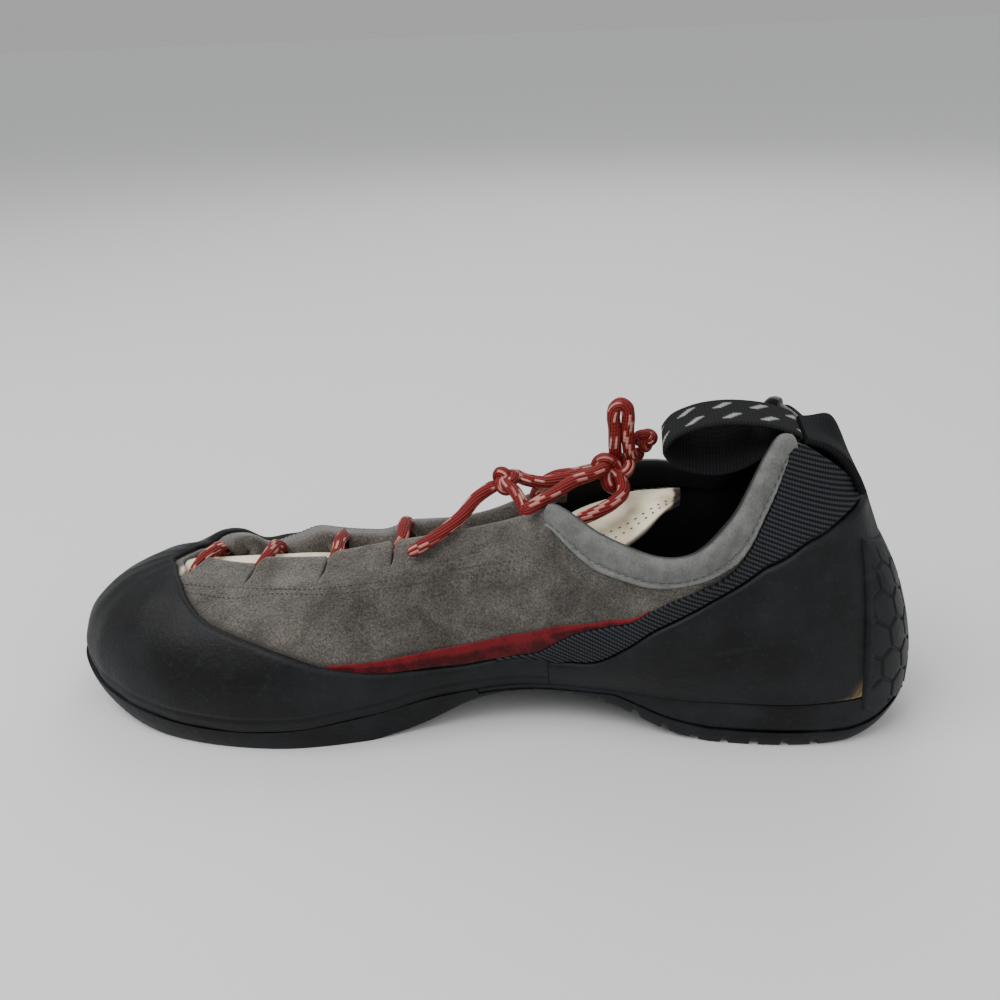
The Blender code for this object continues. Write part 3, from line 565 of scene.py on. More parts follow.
def suedeMaterial():
    # Split cowhide brushed to a nap: short fibres catch pale light, and the hand leaves darker strokes.
    made, tree, shader = newMaterial(
        "brushed grey suede", Roughness=0.95, Sheen_Weight=0.35, Sheen_Roughness=0.5, Specular_IOR_Level=0.2)
    place = node(tree, "TexCoord", output="Object")
    nap = noise(tree, place, 1500, 3, 0.75)
    strokes = noise(tree, place, 95, 4, 0.6, 0.6)
    blend = remap(tree, calc(tree, "ADD", strokes, noise(tree, place, 30, 2)), 0.75, 1.25)
    colour = mix(tree, blend, finish["suedeDark"], finish["suedeLight"])
    colour = mix(tree, 1.0, colour, remap(tree, nap, 0.36, 0.64, 0.45, 1.55), "MULTIPLY")
    dust = calc(tree, "MULTIPLY", remap(tree, noise(tree, place, 3200, 2), 0.64, 0.76), 0.7)
    colour = mix(tree, dust, colour, finish["suedeDust"])
    colour = mix(tree, mark(tree, "cream"), colour, finish["cream"])
    # Painted shade: the shade mark darkens the suede. On the tabs it is wholly shade; along the rand's and the cup's
    # edge it is dirt and shade.
    colour = mix(tree, mark(tree, "shade"), colour, finish["suedeShadeAndDirt"])
    paint(tree, shader, colour, calc(tree, "ADD", nap, strokes), 0.8, 0.0007)
    return made


def rubberMaterial(name, dusty):
    # Climbing rubber, moulded and ground: matt black, with pale dust in its pores and fine scratches.
    made, tree, shader = newMaterial(name, Specular_IOR_Level=0.22)
    place = node(tree, "TexCoord", output="Object")
    cloud = noise(tree, place, 38, 6, 0.62)
    pores = noise(tree, place, 700, 4, 0.65)
    specks = node(tree, "TexVoronoi", {"Vector": place, "Scale": 330}, "Distance")
    chosen = node(tree, "TexVoronoi", {"Vector": place, "Scale": 330}, "Color")
    stretched = node(tree, "Mapping", {"Vector": place, "Rotation": (0.3, 0.2, 0.5), "Scale": (40, 900, 420)})
    scratches = remap(tree, noise(tree, stretched, 1.0, 3), 0.62, 0.75, 0.0, 0.35)
    dots = calc(tree, "MULTIPLY", remap(tree, specks, 0.05, 0.11, 0.9, 0.0), remap(tree, chosen, 0.62, 0.66))
    dust = calc(tree, "ADD", remap(tree, cloud, 0.42, 0.72, 0.0, dusty), scratches)
    dust = calc(tree, "ADD", dust, remap(tree, pores, 0.56, 0.74, 0.0, 0.5))
    dust = calc(tree, "ADD", dust, dots, clamp=True)
    colour = mix(tree, mark(tree, "glue"), mix(tree, dust, finish["rubber"], finish["rubberDust"]), finish["glue"])
    paint(tree, shader, colour, calc(tree, "ADD", pores, cloud), 0.45, 0.0005, remap(tree, dust, 0.0, 1.0, 0.46, 0.78))
    return made


def leatherMaterial():
    # Undyed split leather gone cream with wear, dark where the raw edge has been rubbed.
    made, tree, shader = newMaterial("cream split leather", Roughness=0.8, Sheen_Weight=0.15)
    place = node(tree, "TexCoord", output="Object")
    wearAndShade = remap(tree, noise(tree, place, 110, 4), 0.45, 0.75)
    colour = mix(tree, mark(tree, "raw"), mix(tree, wearAndShade, finish["cream"], finish["creamShade"]), finish["rawEdge"])
    paint(tree, shader, colour, noise(tree, place, 700, 5, 0.7), 0.4, 0.0005)
    return made


def tapeMaterial(name, light, dark):
    # Soft suede tape or cut suede: an even nap with fine cross strokes, and the lining's black inside.
    made, tree, shader = newMaterial(name, Roughness=0.95, Sheen_Weight=0.12, Specular_IOR_Level=0.15)
    place = node(tree, "TexCoord", output="Object")
    nap = noise(tree, place, 1900, 3, 0.7)
    blend = remap(tree, calc(tree, "ADD", nap, noise(tree, place, 240, 3)), 0.75, 1.25)
    blend = calc(tree, "ADD", blend, mark(tree, "fuzz"), clamp=True)
    colour = mix(tree, mark(tree, "inner"), mix(tree, blend, dark, light), finish["lining"])
    paint(tree, shader, colour, nap, 0.5, 0.0005)
    return made


def webbingMaterial():
    # Woven nylon: ribs across the band, drawn from its own UV in metres, and pale picks where it is marked.
    made, tree, shader = newMaterial("woven nylon webbing", Roughness=0.85, Specular_IOR_Level=0.2)
    pattern = split(tree, node(tree, "UVMap", uv_map="pattern"))
    ribs, picks = wave(tree, pattern[1], 0.0010), wave(tree, pattern[0], 0.0020)
    weave = calc(tree, "ADD", ribs, calc(tree, "MULTIPLY", picks, 0.35))
    colour = mix(tree, ribs, finish["webbing"], finish["webbingRib"])
    paint(tree, shader, mix(tree, mark(tree, "pale"), colour, finish["webbingPale"]), weave, 0.6, 0.0003)
    return made


def elasticMaterial():
    # Ribbed elastic: cords 1.35 mm apart that slope down to the rear, with the knit's loops across them.
    made, tree, shader = newMaterial("ribbed elastic", Roughness=0.85, Specular_IOR_Level=0.2)
    place = split(tree, node(tree, "TexCoord", output="Object"))
    height = calc(tree, "ADD", place[2], calc(tree, "MULTIPLY", place[0], 0.40))
    loops = remap(tree, wave(tree, place[0], 0.0008), 0.0, 1.0, 0.45, 1.0)
    knit = calc(tree, "MULTIPLY", wave(tree, height, 0.00135), loops)
    paint(tree, shader, mix(tree, knit, finish["elastic"], finish["elasticRib"]), knit, 0.9, 0.0005)
    return made


def cordMaterial():
    # Braided accessory cord: fourteen ribs of red yarn wind along it, and pale tracer yarn shows in short dashes.
    made, tree, shader = newMaterial("braided red cord", Roughness=0.6, Specular_IOR_Level=0.3)
    pattern = split(tree, node(tree, "UVMap", uv_map="pattern"))
    around = calc(tree, "ADD", pattern[0], calc(tree, "MULTIPLY", pattern[1], 9.0))
    rib = wave(tree, around, 1 / 14)
    pick = calc(tree, "SINE", calc(tree, "MULTIPLY", pattern[1], 2 * math.pi / 0.0011))
    row = calc(tree, "MULTIPLY", around, 14.0)
    number = calc(tree, "FLOOR", row)
    shift = node(tree, "TexWhiteNoise", {"W": number}, noise_dimensions="1D")
    dash = calc(tree, "ADD", calc(tree, "MULTIPLY", pattern[1], 1 / 0.0070), shift)
    place = node(tree, "CombineXYZ", {0: number, 1: calc(tree, "FLOOR", dash)})
    chosen = remap(tree, node(tree, "TexWhiteNoise", {"Vector": place}, noise_dimensions="2D"), 0.60, 0.64)
    lit = remap(tree, calc(tree, "FLOORED_MODULO", dash, 1.0), 0.40, 0.52, 0.8, 0.0)
    inRow = remap(tree, calc(tree, "FLOORED_MODULO", row, 1.0), 0.75, 0.95, 1.0, 0.0)
    fleck = calc(tree, "MULTIPLY", calc(tree, "MULTIPLY", lit, inRow), chosen)
    colour = mix(tree, fleck, mix(tree, rib, finish["cordShade"], finish["cord"]), finish["cordFleck"])
    paint(tree, shader, colour, calc(tree, "ADD", rib, calc(tree, "MULTIPLY", pick, 0.25)), 0.8, 0.0003)
    return made


def plainYarn(name, colour, scale):
    # Matt yarn or knitted lining with a fine uneven surface.
    made, tree, shader = newMaterial(name, Roughness=0.9)
    nap = noise(tree, node(tree, "TexCoord", output="Object"), scale, 3)
    tone = remap(tree, nap, 0.3, 0.7, 0.6, 1.3)
    paint(tree, shader, mix(tree, 1.0, colour, tone, "MULTIPLY"), nap, 0.5, 0.0004)
    return made


suede = suedeMaterial()
randRubber = rubberMaterial("ground rand rubber", 0.55)
soleRubber = rubberMaterial("moulded sole rubber", 0.80)
creamLeather = leatherMaterial()
collarTape = tapeMaterial("grey suede tape", finish["tape"], finish["tapeShade"])
redSuede = tapeMaterial("red cut suede", finish["redFuzz"], finish["redFace"])
ribElastic = elasticMaterial()
webbing = webbingMaterial()
redCord = cordMaterial()
lining = plainYarn("brushed lining", finish["lining"], 900)
darkThread = plainYarn("waxed dark thread", finish["thread"], 2500)
paleThread = plainYarn("grey thread", finish["threadPale"], 2500)
seamThread = plainYarn("brown thread", finish["threadDark"], 2500)
print("materials made")

# Creases of the suede. Side is -1 medial, 1 lateral; each runs between two places on the wall
# side, along, up, along, up, width and depth in metres (a negative depth stands proud)
creases = (
    (-1, 0.607, 0.60, 0.673, 0.385, 0.0060, 0.0009),
    (-1, 0.560, 0.64, 0.590, 0.42, 0.0070, -0.0006),
    (-1, 0.470, 0.86, 0.545, 0.66, 0.0035, 0.0009),
    (-1, 0.455, 0.74, 0.520, 0.58, 0.0050, -0.0006),
    (-1, 0.760, 0.66, 0.700, 0.48, 0.0090, -0.0007),
    (-1, 0.640, 0.70, 0.700, 0.60, 0.0040, 0.0004),
    (-1, 0.400, 0.60, 0.480, 0.38, 0.0080, -0.0006),
    (-1, 0.370, 0.72, 0.430, 0.52, 0.0050, 0.0005),
    (1, 0.600, 0.62, 0.668, 0.40, 0.0060, 0.0009),
    (1, 0.540, 0.66, 0.590, 0.45, 0.0070, -0.0005),
    (1, 0.480, 0.80, 0.540, 0.62, 0.0040, 0.0008),
    (1, 0.750, 0.66, 0.700, 0.48, 0.0090, -0.0006),
    (1, 0.390, 0.62, 0.460, 0.40, 0.0070, 0.0006),
)


def creaseLift(angle, up):
    # Each crease is a valley or a ridge whose section is a bell curve, measured in metres over the wall.
    medial = np.where(np.mod(angle, 2 * np.pi) < np.pi, -1, 1)
    x, y = alongOf(angle) * shoe["length"], up * 0.078
    lift = 0.00035 * np.sin(x * 150 + 3 * up) * np.sin(y * 95 + x * 40) * (1 - up) * up * 4
    for side, along0, up0, along1, up1, width, depth in creases:
        start = np.array([along0 * shoe["length"], up0 * 0.078])
        reach = np.array([along1 * shoe["length"], up1 * 0.078]) - start
        share = np.clip(((x - start[0]) * reach[0] + (y - start[1]) * reach[1]) / (reach @ reach), -0.3, 1.3)
        away = np.hypot(x - start[0] - share * reach[0], y - start[1] - share * reach[1])
        faded = np.clip(1 - np.abs(share - 0.5) / 0.9, 0, 1)
        lift = lift - (medial == side) * depth * faded * np.exp(-(away / width) ** 2)
    return lift


upperLook = {"columns": 520, "rows": 72, "thickness": 0.0020}


def addUpper(look):
    # The wall from the foot line to the suede's edge, all round, with a lined inside.
    angle = np.linspace(0, 2 * np.pi, look["columns"] + 1)[:-1][:, None]
    edge = np.clip(ring(topLine, 6, 6, angle), 0, 1)
    up = edge * np.linspace(0, 1, look["rows"])
    along = alongOf(angle)
    tucked = 0.0007 * fade(0.762, 0.778, up) * fade(0.405, 0.420, along) * fade(0.935, 0.925, along)
    grid = wall(angle, up, creaseLift(angle, up) * fade(1.0, 0.9, up / edge) - tucked)
    rand = edgeAt("rand", angle)
    cream = fade(0.930, 0.938, along) * fade(0.985, 0.965, along) * (np.sin(angle) > 0) * np.ones_like(up)
    # Dirt and painted shade: a narrow darker band on the suede along the top edges of the rand and the heel cup, in the
    # joint.
    shade = 0.75 * np.exp(-((up - np.maximum(rand, edgeAt("cup", angle))) / 0.02) ** 2) + 0 * along
    piece = gridPiece("upperSuede", grid, [suede, lining], closedRows=True, marks={"cream": cream, "shade": shade})
    thicken(piece, "lining", look["thickness"], 1)
    return finishPiece(piece, "grey_suede", "upper")


# Lace tabs, from the toe back: start, end, centre of the slit at each end, and how far the rear end,
# the middle and the front end of the fold rise or sag, then its depth beside the others'
tabRows = {
    "medial": ((0.850, 0.925, 0.838, None, (0.0003, 0.0006, 0.0024, 1.0)),
               (0.747, 0.822, 0.733, 0.838, (0.0018, 0.0023, 0.0030, 1.0)),
               (0.651, 0.717, 0.637, 0.733, (0.0034, 0.0032, 0.0032, 1.0)),
               (0.400, 0.622, None, 0.637, (0.0, 0.0012, 0.0032, 1.0))),
    "lateral": ((0.854, 0.925, 0.840, None, (0.0, 0.0012, 0.0, 1.0)),
                (0.756, 0.826, 0.742, 0.840, (0.0006, 0.0004, -0.0004, 1.6)),
                (0.662, 0.728, 0.6465, 0.742, (0.0, 0.0004, 0.0, 1.35)),
                (0.400, 0.631, None, 0.6465, (0.0, 0.0002, 0.0, 1.0))),
}
tabLook = {
    "foot": 0.742,
    "depth": 0.0077,
    "thickness": 0.0012,
    "slitWidth": 0.0017,
    "slitAtRim": 0.0100,
    # how far the foot of a slit lies behind its mouth
    "slitLean": 0.018,
    # up from foot to rim, depth as a share of the fold's depth
    "section": np.array([
        (0.00, 0.050), (0.06, -0.004), (0.30, -0.012), (0.55, -0.016), (0.75, 0.00), (0.88, 0.07),
        (0.97, 0.22), (1.00, 0.46),
        (0.97, 0.72), (0.86, 0.90), (0.66, 0.97), (0.42, 0.90), (0.20, 0.66), (0.06, 0.46),
    ]),
}


def addTab(side, number, row, look):
    # Suede folded over the lace: the section rises with the wall, turns over and is sewn down inside.
    # The slit on either side opens from a point at its foot.
    start, end, slitBack, slitFront, bends = row
    section = look["section"]
    index = np.arange(len(section), dtype=float)
    at = np.linspace(0, index[-1], 44)
    rise, inside = (smooth(index, section[:, k], at) for k in range(2))
    slit = look["slitWidth"] * fade(0.17, 0.36, rise) + look["slitAtRim"] * fade(0.68, 1.0, rise)
    lean = look["slitLean"] * (1 - rise)
    low = start + 0 * rise if slitBack is None else slitBack + slit - lean
    high = end + 0 * rise if slitFront is None else slitFront - slit - lean
    share = np.linspace(0, 1, 12 + int(260 * (end - start)))[:, None]
    angle = angleOf(low + (high - low) * share)
    if side == "lateral":
        angle = 2 * np.pi - angle[::-1]
        share = share[::-1]
    up = look["foot"] + (1 - look["foot"]) * rise
    along = alongOf(angle)
    depth = look["depth"] * bends[3] * (1 - 0.6 * fade(0.440, 0.412, along))
    lift = creaseLift(angle, up) * fade(0.86, 0.80, up) - depth * inside
    lift = lift + 0.0003 * np.sin(np.pi * share) * fade(0.5, 0.95, rise)
    grid = wall(angle, up, lift)
    rear, middle, front = (1 - share) * (1 - 2 * share), 4 * share * (1 - share), share * (2 * share - 1)
    grid[..., 2] += (bends[0] * rear + bends[1] * middle + bends[2] * front) * fade(0.35, 1.0, rise)
    # Painted shade: each tab's two ends are darkened where it meets the slit and the next tab, and the part of the fold
    # turned in under the rim is darkened too.
    wearAndShade = 0.45 * np.exp(-np.minimum(share, 1 - share) / 0.03)
    shade = wearAndShade * fade(0.25, 0.5, rise) * fade(0.41, 0.45, along) + 0.4 * fade(0.45, 0.85, inside)
    piece = gridPiece(f"laceTab{side.capitalize()}{number}", grid, [suede], marks={"shade": shade, "cream": 0 * shade})
    thicken(piece, "suede", look["thickness"])
    return finishPiece(piece, "grey_suede", f"lace_tab_{side}_{number}")


addUpper(upperLook)
for side, rows in tabRows.items():
    for number, row in enumerate(rows, 1):
        addTab(side, number, row, tabLook)
print("upper and lace tabs made")

# Each overlay's thickness, its columns and rows, how soft its lower and upper edges are, and its ends along the shoe
overlayLook = {
    "rand": {"thickness": 0.0018, "steps": (420, 60), "softEdges": (0.5, 2.2), "start": 0.4035},
    "cup": {"thickness": 0.0018, "steps": (360, 56), "softEdges": (0.5, 2.2), "end": 0.4028},
    "elastic": {"thickness": 0.0012, "steps": (260, 30), "softEdges": (1.0, 1.0), "ends": (0.0006, 0.470)},
    "strip": {"thickness": 0.0008, "steps": (260, 28), "softEdges": (1.2, 1.2), "ends": (0.298, 0.664), "taper": 0.06},
    "foot": 0.003,
    "gap": 0.0006,
}


def randRelief(angle, up, across):
    # Hand-lasted rubber is a little uneven: long low waves, and a thin pressed line above the sole.
    wave = 0.00018 * np.sin(angle * 23 + up * 9) * np.sin(angle * 11 - up * 14)
    return wave - 0.0004 * np.exp(-((across - 0.0045) / 0.0006) ** 2)


def cupRelief(angle, up, across):
    # A soft spine runs down the middle of the heel.
    turned = np.mod(angle + np.pi, 2 * np.pi) - np.pi
    return 0.0007 * np.exp(-(turned / 0.10) ** 2) * fade(0.1, 0.4, up) + 0.00012 * np.sin(angle * 19 + up * 11)


def glueStain(angle, up, share):
    # Old glue squeezed out in the low corner beside the heel shield, thinning forward along the wedge.
    back = alongOf(np.abs(angle))
    ragged = 0.75 + 0.25 * np.sin(up * 140 + back * 900)
    corner = fade(0.074, 0.050, back + 0.16 * up) * fade(0.16, 0.05, up)
    line = fade(0.084, 0.055, back) * fade(0.022, 0.008, up)
    return {"glue": 0.75 * ragged * np.maximum(corner, line) * (angle > 0) * (back > 0.036)}


def stripFuzz(angle, up, share):
    # The strip's cut upper edge is brushed paler.
    return {"fuzz": fade(0.45, 0.75, share) * 0.75 - 0.35 + 0 * up}


def addOverlays(look):
    # Elastic fills the space between the cup and the strip, and ahead of the arch a thin wedge above the rand.
    gap = look["gap"] / shoe["instepHeight"]
    front, back = angleOf(look["rand"]["start"]), angleOf(look["cup"]["end"])

    def foot(angle):
        return np.full(np.shape(angle), look["foot"])

    def elasticLow(angle):
        ahead = fade(0.375, 0.398, alongOf(angle))
        return edgeAt("cup", angle) * (1 - ahead) + edgeAt("rand", angle) * ahead + gap * (1 - 2 * ahead)

    def stripLow(angle):
        return edgeAt("stripLow", angle) - gap

    def add(name, ends, low, high, key, material, slot, replaced, *extras):
        piece = panelPiece(name, *ends, low, lambda angle: edgeAt(high, angle), look[key], material, *extras)
        finishPiece(piece, slot, replaced)

    add("toeRand", (front, 2 * np.pi - front), foot, "rand", "rand", randRubber, "rand_rubber", "toe_rand", randRelief)
    add("heelCup", (-back, back), foot, "cup", "cup", randRubber, "rand_rubber", "heel_cup", cupRelief, glueStain)
    for name, side, *ends in sides("heelElastic", *look["elastic"]["ends"]):
        add(name, ends, elasticLow, "elasticTop", "elastic", ribElastic, "ribbed_elastic", f"heel_elastic_{side}")
    for name, side, *ends in sides("sideStrip", *look["strip"]["ends"]):
        add(name, ends, stripLow, "stripHigh", "strip", redSuede, "red_suede", f"side_strip_{side}", None, stripFuzz)


bindingLook = {
    "columns": 260,
    "ends": (0.088, 0.412),
    "seamUp": 0.24,
    "stitch": 0.0024,
    # share of the way from the lower edge to the rim, lift off the wall, rise above the rim
    "section": np.array([
        (0.00, 0.0000, 0), (0.01, 0.0009, 0), (0.05, 0.0013, 0), (0.12, 0.0014, 0), (0.18, 0.0013, 0),
        (0.24, 0.0007, 0), (0.30, 0.0012, 0), (0.45, 0.0017, 0), (0.70, 0.0018, 0), (0.90, 0.0017, 0),
        (1.00, 0.0015, 0.0003), (1.00, 0.0009, 0.0012), (1.00, -0.0004, 0.0018), (1.00, -0.0018, 0.0017),
        (1.00, -0.0030, 0.0009), (1.00, -0.0034, 0.0000), (0.80, -0.0034, 0), (0.45, -0.0033, 0), (0.25, -0.0031, 0),
        (0.22, -0.0024, 0), (0.20, -0.0012, 0),
    ]),
}


def addBinding(look):
    # Tape folded over the collar's edge and sewn through; the seam pulls a groove along its outer side.
    section = look["section"]
    for name, side, start, end in sides("collarBinding", *look["ends"]):
        angle = np.linspace(start, end, look["columns"])[:, None]
        low = edgeAt("bindingLow", angle)
        up = low + (1 - low) * section[:, 0]
        pucker = 0.00009 * np.sin(2 * np.pi * alongOf(angle) * shoe["length"] / look["stitch"])
        grid = wall(angle, up, section[:, 1] + pucker * (section[:, 0] < 0.4) * (section[:, 1] > 0))
        rim = np.ones_like(angle)
        grid = grid + unit(plainWall(angle, rim) - plainWall(angle, 0.99 * rim)) * section[:, 2:]
        marks = {
            "fuzz": np.broadcast_to(np.where(section[:, 0] < 0.2, 0.15, -0.1), grid.shape[:2]),
            "inner": np.broadcast_to(1.0 * (section[:, 1] < -0.0015), grid.shape[:2]),
        }
        piece = bodyPiece(name, grid, collarTape, 60, marks)
        finishPiece(piece, "collar_tape", f"collar_binding_{side}")
        angle, seamUp = angle[:, 0], (low + (1 - low) * look["seamUp"])[:, 0]
        path = wall(angle, seamUp, 0.0009)
        normals = wallNormal(angle, seamUp)
        seam = stitchRow("collarSeam" + side.capitalize(), path, normals, paleThread, look["stitch"], 0.00022)
        finishPiece(seam, "collar_tape")


addOverlays(overlayLook)
addBinding(bindingLook)
print("rubber, elastic, strips and binding made")

# Two rows of stitches under the tabs: along, up of the lower row and of the upper one
tabSeams = np.array([
    (0.925, 0.690, 0.740), (0.875, 0.698, 0.748), (0.820, 0.698, 0.764), (0.780, 0.720, 0.752), (0.720, 0.700, 0.730),
    (0.674, 0.682, 0.720), (0.615, 0.655, 0.700), (0.552, 0.640, 0.690), (0.500, 0.640, 0.690), (0.450, 0.650, 0.700),
])


def addTabSeams(rows):
    for number in (1, 2):
        for sign, side in ((1, "Medial"), (-1, "Lateral")):
            along = np.linspace(rows[-1, 0], rows[0, 0], 200)
            up = smooth(rows[::-1, 0], rows[::-1, number], along)
            angle = angleOf(along) * sign
            path = wall(angle, up, creaseLift(angle, up))
            seam = stitchRow(f"tabSeam{side}{number}", path, wallNormal(angle, up), darkThread, 0.0016, 0.00014)
            finishPiece(seam, "grey_suede")


addTabSeams(tabSeams)

# back as a share of the length, half width of the ball width, heights of the middle and the edges
tongueRows = np.array([
    (0.860, 0.070, 0.572, 0.540), (0.756, 0.145, 0.590, 0.470), (0.668, 0.155, 0.605, 0.500),
    (0.580, 0.160, 0.630, 0.530),
    (0.500, 0.160, 0.685, 0.585), (0.427, 0.170, 0.755, 0.665), (0.383, 0.190, 0.842, 0.705),
    (0.339, 0.181, 0.905, 0.790),
    (0.300, 0.132, 0.948, 0.895), (0.268, 0.030, 0.966, 0.958),
])
tongueLook = {"thickness": 0.0022, "rows": 200, "columns": 60, "seams": (-0.80, -0.66, 0.80, 0.66)}


def tonguePlace(share, across, rows):
    # An arch across the foot whose edges drop with the square of the distance from the middle.
    index = np.arange(len(rows), dtype=float)
    back, half, middle, edge = (smooth(index, rows[:, k], share * index[-1]) for k in range(4))
    ripple = 0.0005 * np.sin(share * 38 + across * 2.5) * np.abs(across) ** 1.5
    ripple = ripple + 0.0004 * np.sin(share * 21 - across * 3)
    x, y = shoe["length"] * (0.5 - back) + 0 * across, shoe["ballWidth"] * half * across
    return np.stack([x, y, shoe["instepHeight"] * (middle + (edge - middle) * across**2) + ripple], axis=-1)


def addTongue(look):
    # The tip is frayed and dark, and the far edge has been rubbed dark too.
    share, across = np.linspace(0, 1, look["rows"])[:, None], np.linspace(1, -1, look["columns"])
    fray = 0.003 * np.sin(across * 9 + 1) * np.sin(across * 23) * fade(0.95, 1.0, share)
    grid = tonguePlace(np.clip(share + fray - 0.003 * fade(0.93, 1, share), 0, 1), across, tongueRows)
    ragged = 0.006 * np.sin(across * 7 + 1) + 0.003 * np.sin(across * 31)
    farEdge = 0.9 * fade(0.52, 0.62, across) * fade(0.80, 0.86, share)
    nearEdge = 0.35 * fade(0.95, 1.0, -across) * fade(0.75, 0.85, share)
    raw = np.maximum.reduce([fade(0.966, 0.980, share + 0.6 * ragged), farEdge, nearEdge])
    piece = gridPiece("tongueLeather", grid, [creamLeather], marks={"raw": raw})
    thicken(piece, "leather", look["thickness"])
    finishPiece(piece, "cream_leather", "tongue")
    along = np.linspace(0.52, 0.955, 160)
    for number, place in enumerate(look["seams"]):
        path = tonguePlace(along, place, tongueRows) + np.array([0, 0, 0.0001])
        normals = np.cross(np.gradient(path, axis=0), tonguePlace(along, place + 0.05, tongueRows) - path)
        normals = unit(normals * np.sign(normals[:, 2:]))
        seam = stitchRow(f"tongueSeam{number}", path, normals, seamThread, 0.0026, 0.00018, 0.34)
        finishPiece(seam, "cream_leather")


addTongue(tongueLook)
print("tongue made")


def soleSpan(x, share, toe, heel, side):
    # Places across the sole at each station, between the two edges of an outline with these margins.
    half = (shoe["length"] - toe - heel) / 2
    middle = (toe - heel) / 2
    place = np.clip(x, middle - 0.9995 * half, middle + 0.9995 * half) + 0 * share
    angle = outlineAngle(place, toe, heel)
    near, far = outline(angle, toe, heel, side)[1], outline(-angle, toe, heel, side)[1]
    return place, near + (far - near) * share


soleLook = {
    "stations": 560,
    "across": 72,
    "sideRows": 9,
    "midsoleFront": 0.490,
    "layerGap": 0.0006,
    "gap": 0.0003,
    "slotDepth": 0.0018,
    "slotWidth": 0.0020,
    # place of the first along the shoe, pitch, count, length, for heel, arch and ball
    "slots": ((0.115, 0.0090, 7, 1.0), (0.352, 0.0098, 4, 1.0), (0.640, 0.0100, 6, 0.056)),
    "lowMargins": (0.0050, 0.0055, 0.0016),
    "highMargins": (0.0, 0.0010, 0.0),
    "hexSize": 0.0068,
    "hexDepth": 0.0005,
}


def hexEdge(p, q):
    # Distance to the nearest side of a hexagon, in a tiling of unit hexagons.
    size = np.array([1.0, 1.7320508])
    place = np.stack([p, q], axis=-1)
    a = np.mod(place, size) - size / 2
    b = np.mod(place - size / 2, size) - size / 2
    near = np.abs(np.where(((a**2).sum(-1) < (b**2).sum(-1))[..., None], a, b))
    return 0.5 - np.maximum(near[..., 0], near[..., 0] * 0.5 + near[..., 1] * 0.8660254)


def treadDepth(x, y, look):
    # Slots right across heel and arch, short ones under the ball, and shallow hexagons between them.
    depth = 0 * x
    for first, pitch, count, length in look["slots"]:
        start = shoe["length"] * (0.5 - first)
        number = np.clip(np.round((start - x) / pitch), 0, count - 1)
        inside = (np.abs(x - start + number * pitch) < look["slotWidth"] / 2) & (np.abs(y) < length / 2)
        depth = np.where(inside, look["slotDepth"], depth)
    groove = 1 - fade(0.02, 0.09, hexEdge(x / look["hexSize"], y / look["hexSize"]))
    return np.maximum(depth, look["hexDepth"] * groove)


def underside(x, y):
    return np.maximum(0, heightAt(undersideRows, 1, 2, x, y))


def outsoleTop(x, y, look):
    # A layer under the midsole, and up to the foot line in front of it.
    bottom, foot = underside(x, y), footSurface(x, y)
    layer = heightAt(undersideRows, 3, 3, x, y)
    room = foot - bottom - look["layerGap"] - look["gap"] - 0.0010
    behind = x > shoe["length"] * (0.5 - look["midsoleFront"]) - look["gap"]
    return np.where(behind, bottom + np.minimum(layer, room), foot - look["gap"])


def addOutsole(look):
    # Rings across the shoe: underside with its tread, a side that leans out, and the top.
    stations = shoe["length"] / 2 * np.cos(np.linspace(0, np.pi, look["stations"]))[:, None]
    share = eased(look["across"])[None, :]
    lowMargins, highMargins = np.array(look["lowMargins"]), np.array(look["highMargins"])
    x, y = soleSpan(stations, share, *lowMargins)
    bottom = underside(x, y)
    inner = fade(0.0006, 0.0022, np.minimum(share, 1 - share) * shoe["ballWidth"])
    tread = treadDepth(x, y, look)
    bottomRows = np.stack([x, y, bottom + tread * np.where(tread > 0.001, 1, inner)], axis=-1)
    topX, topY = soleSpan(stations, share[:, ::6], *highMargins)
    topRows = np.stack([topX, topY, outsoleTop(topX, topY, look)], axis=-1)
    leaning = np.linspace(0, 1, look["sideRows"] + 2)[1:-1]
    walls = []
    for edge, order in ((1.0, leaning), (0.0, leaning[::-1])):
        rows = []
        for t in order:
            margins = lowMargins + (highMargins - lowMargins) * np.sin(t * np.pi / 2) ** 0.7
            sx, sy = soleSpan(stations, np.array([[edge]]), *margins)
            low, high = underside(sx, sy), outsoleTop(sx, sy, look)
            notch = np.where(treadDepth(sx, sy, look) > 0.001, look["slotDepth"], 0)
            rows.append(np.stack([sx, sy, low + (high - low) * t + notch * (1 - t) ** 2], axis=-1))
        walls.append(np.concatenate(rows, axis=1))
    grid = np.concatenate([bottomRows, walls[0], topRows[:, ::-1], walls[1]], axis=1)
    finishPiece(bodyPiece("outsoleRubber", grid, soleRubber, 35), "outsole_rubber", "outsole")


wrapLook = {"angle": 0.47, "height": 0.70, "thickness": 0.0026, "hexSize": 0.0092, "hexDepth": 0.0006}


